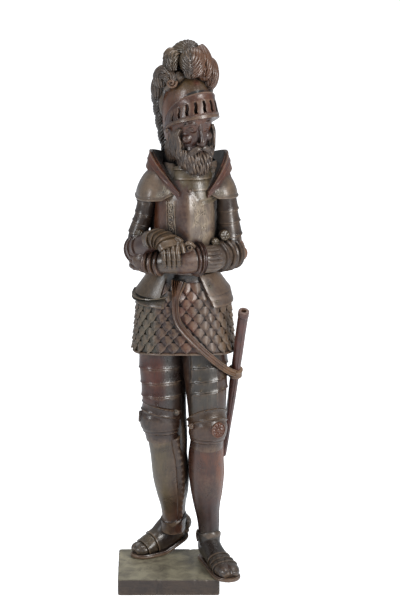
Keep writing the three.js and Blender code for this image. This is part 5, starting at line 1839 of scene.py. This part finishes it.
def open_mask(points, faces, rays=10, reach=34.0):
    """How much open air a point sees: 1 in the open, near 0 deep in a hollow."""
    tree = BVHTree.FromPolygons(points.tolist(), faces.tolist())
    normals = point_normals(points, faces)
    dice = np.random.default_rng(7)
    ways = unit(dice.normal(size=(rays, 3)))
    seen = np.zeros(len(points))
    for way in ways:
        bent = unit(normals * 1.05 + way)
        starts = points + normals * 0.5
        for i in range(len(points)):
            hit = tree.ray_cast(Vector(starts[i]), Vector(bent[i]), reach)
            if hit[0] is None:
                seen[i] += 1
            else:
                seen[i] += 0.55 * (hit[3] / reach)
    return seen / rays


def stained(points, wood):
    """Each point's stain, painted shade and painted highlights included, from the shell that it was carved on."""
    count = sum(len(shape[0]) for shape in wood.shells)
    tree = KDTree(count)
    owner = np.empty(count, int)
    k = 0
    for number, (places, _) in enumerate(wood.shells):
        for place in places:
            tree.insert(place, k)
            owner[k] = number
            k += 1
    tree.balance()
    whose = np.array([owner[tree.find(p)[1]] for p in points])
    colours = np.zeros((len(points), 3))
    for number in np.unique(whose):
        mine = whose == number
        colours[mine] = wood.stains[number](points[mine])
    return colours


def add_masks(mesh, points, faces, colours=None):
    edges = neighbours(points, faces)
    seen = averaged(open_mask(points, faces), edges, 1)
    wear_and_highlight = edge_mask(points, faces, edges) * smooth(seen, 0.2, 0.6)
    for name, values in (("edge", wear_and_highlight), ("open", seen)):
        layer = mesh.attributes.new(name, "FLOAT", "POINT")
        layer.data.foreach_set("value", values.astype(np.float32))
    if colours is not None:
        layer = mesh.attributes.new("stain", "FLOAT_COLOR", "POINT")
        colours = averaged(colours, edges, 1)
        layer.data.foreach_set("color", np.column_stack([colours, np.ones(len(colours))]).astype(np.float32).ravel())


def piece(name, shape, material, node, colours=None, sharp=42):
    points, faces = shape
    mesh = mesh_of(name, points, faces)
    add_masks(mesh, points, faces, colours)
    mesh.shade_smooth()
    mesh.set_sharp_from_angle(angle=math.radians(sharp))
    mesh.materials.append(material)
    made = bpy.data.objects.new(name, mesh)
    bpy.context.scene.collection.objects.link(made)
    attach(made, "root")
    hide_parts(node)
    return made


def carve_figure():
    wood = Block()
    legs(wood)
    feet(wood)
    skirt(wood)
    hips(wood)
    chest(wood)
    shoulders(wood)
    arms(wood)
    hands(wood)
    head(wood)
    plumes(wood)
    strap(wood)
    wood.cut(block((-120, -120, 0), (160, 160, SOLE)))
    whole = combined(wood.shells[0], wood.shells[1:], "UNION")
    whole = combined(whole, wood.cuts, "DIFFERENCE")
    share = FIGURE_TRIANGLES / len(whole[1])
    if share < 1:
        whole = modified(whole, ("DECIMATE", {"ratio": share}))
    return whole, wood


figure_shape, figure_wood = carve_figure()
colours = stained(figure_shape[0], figure_wood)
piece("figure_carving", figure_shape, wood_finish("walnut"), "knight_figure", colours)
piece("scabbard_carving", scabbard_shape(), wood_finish("scabbard_walnut", (0.30, 0.17, 0.15)), "scabbard")
slab = wood_finish("plinth_walnut", (0.22, 0.18, 0.155), wear_and_highlight=0.5, dust=0.85, gloss=0.55, along=(0.12, 1, 1), bump_height=0.6)
piece("plinth_slab", plinth_shape(), slab, "plinth", sharp=50)


# Studio: a pale floor, soft light and the camera.


def studio():
    floor_mesh = bpy.data.meshes.new("floor")
    size = 14.0
    floor_mesh.from_pydata([(-size, -size, 0), (size, -size, 0), (size, size, 0), (-size, size, 0)], [], [(0, 1, 2, 3)])
    floor = bpy.data.objects.new("floor", floor_mesh)
    bpy.context.scene.collection.objects.link(floor)
    paper = bpy.data.materials.new("paper")
    paper.use_nodes = True
    tree = paper.node_tree
    shader = tree.nodes["Principled BSDF"]
    shader.inputs["Base Color"].default_value = (0.80, 0.82, 0.85, 1)
    shader.inputs["Roughness"].default_value = 0.9
    shader.inputs["Specular IOR Level"].default_value = 0.1
    seen = tree.nodes.new("ShaderNodeLightPath")
    tree.links.new(math_node(tree, "MULTIPLY", seen.outputs["Is Camera Ray"], 0.78), shader.inputs["Emission Strength"])
    shader.inputs["Emission Color"].default_value = (1.0, 1.0, 1.0, 1)
    floor_mesh.materials.append(paper)

    world = bpy.data.worlds.new("studio_air")
    bpy.context.scene.world = world
    world.use_nodes = True
    background = world.node_tree.nodes["Background"]
    background.inputs["Color"].default_value = (0.94, 0.97, 1.0, 1)
    background.inputs["Strength"].default_value = 0.42

    def soft_box(name, place, aim, size_of, power, colour=(1, 1, 1)):
        data = bpy.data.lights.new(name, "AREA")
        data.shape = "RECTANGLE"
        data.size, data.size_y = size_of
        data.energy = power
        data.color = colour
        light = bpy.data.objects.new(name, data)
        light.location = place
        light.rotation_euler = (Vector(aim) - Vector(place)).to_track_quat("-Z", "Y").to_euler()
        bpy.context.scene.collection.objects.link(light)

    soft_box("right_box", (1.45, -1.55, 1.25), (0.02, 0, 0.42), (0.6, 1.3), 44, (1.0, 0.99, 0.97))
    soft_box("left_box", (-1.7, -1.2, 1.3), (0.02, 0, 0.40), (0.35, 1.2), 20, (0.96, 0.98, 1.0))
    soft_box("top_box", (0.2, 0.4, 2.6), (0.02, 0, 0.3), (1.4, 1.4), 26)


def camera():
    target = Vector((0.020, 0.012, 0.360))
    tilt = math.radians(18.5)
    place = target + 5.0 * Vector((0, -math.cos(tilt), math.sin(tilt)))
    aim = target + Vector((0.02145, 0, 0)) + 0.02379 * Vector((0, math.sin(tilt), math.cos(tilt)))
    data = bpy.data.cameras.new("camera")
    data.lens = 230.0
    made = bpy.data.objects.new("camera", data)
    made.location = place
    made.rotation_euler = (aim - place).to_track_quat("-Z", "Y").to_euler()
    bpy.context.scene.collection.objects.link(made)
    bpy.context.scene.camera = made


studio()
camera()
bpy.context.scene.view_settings.view_transform = "Standard"
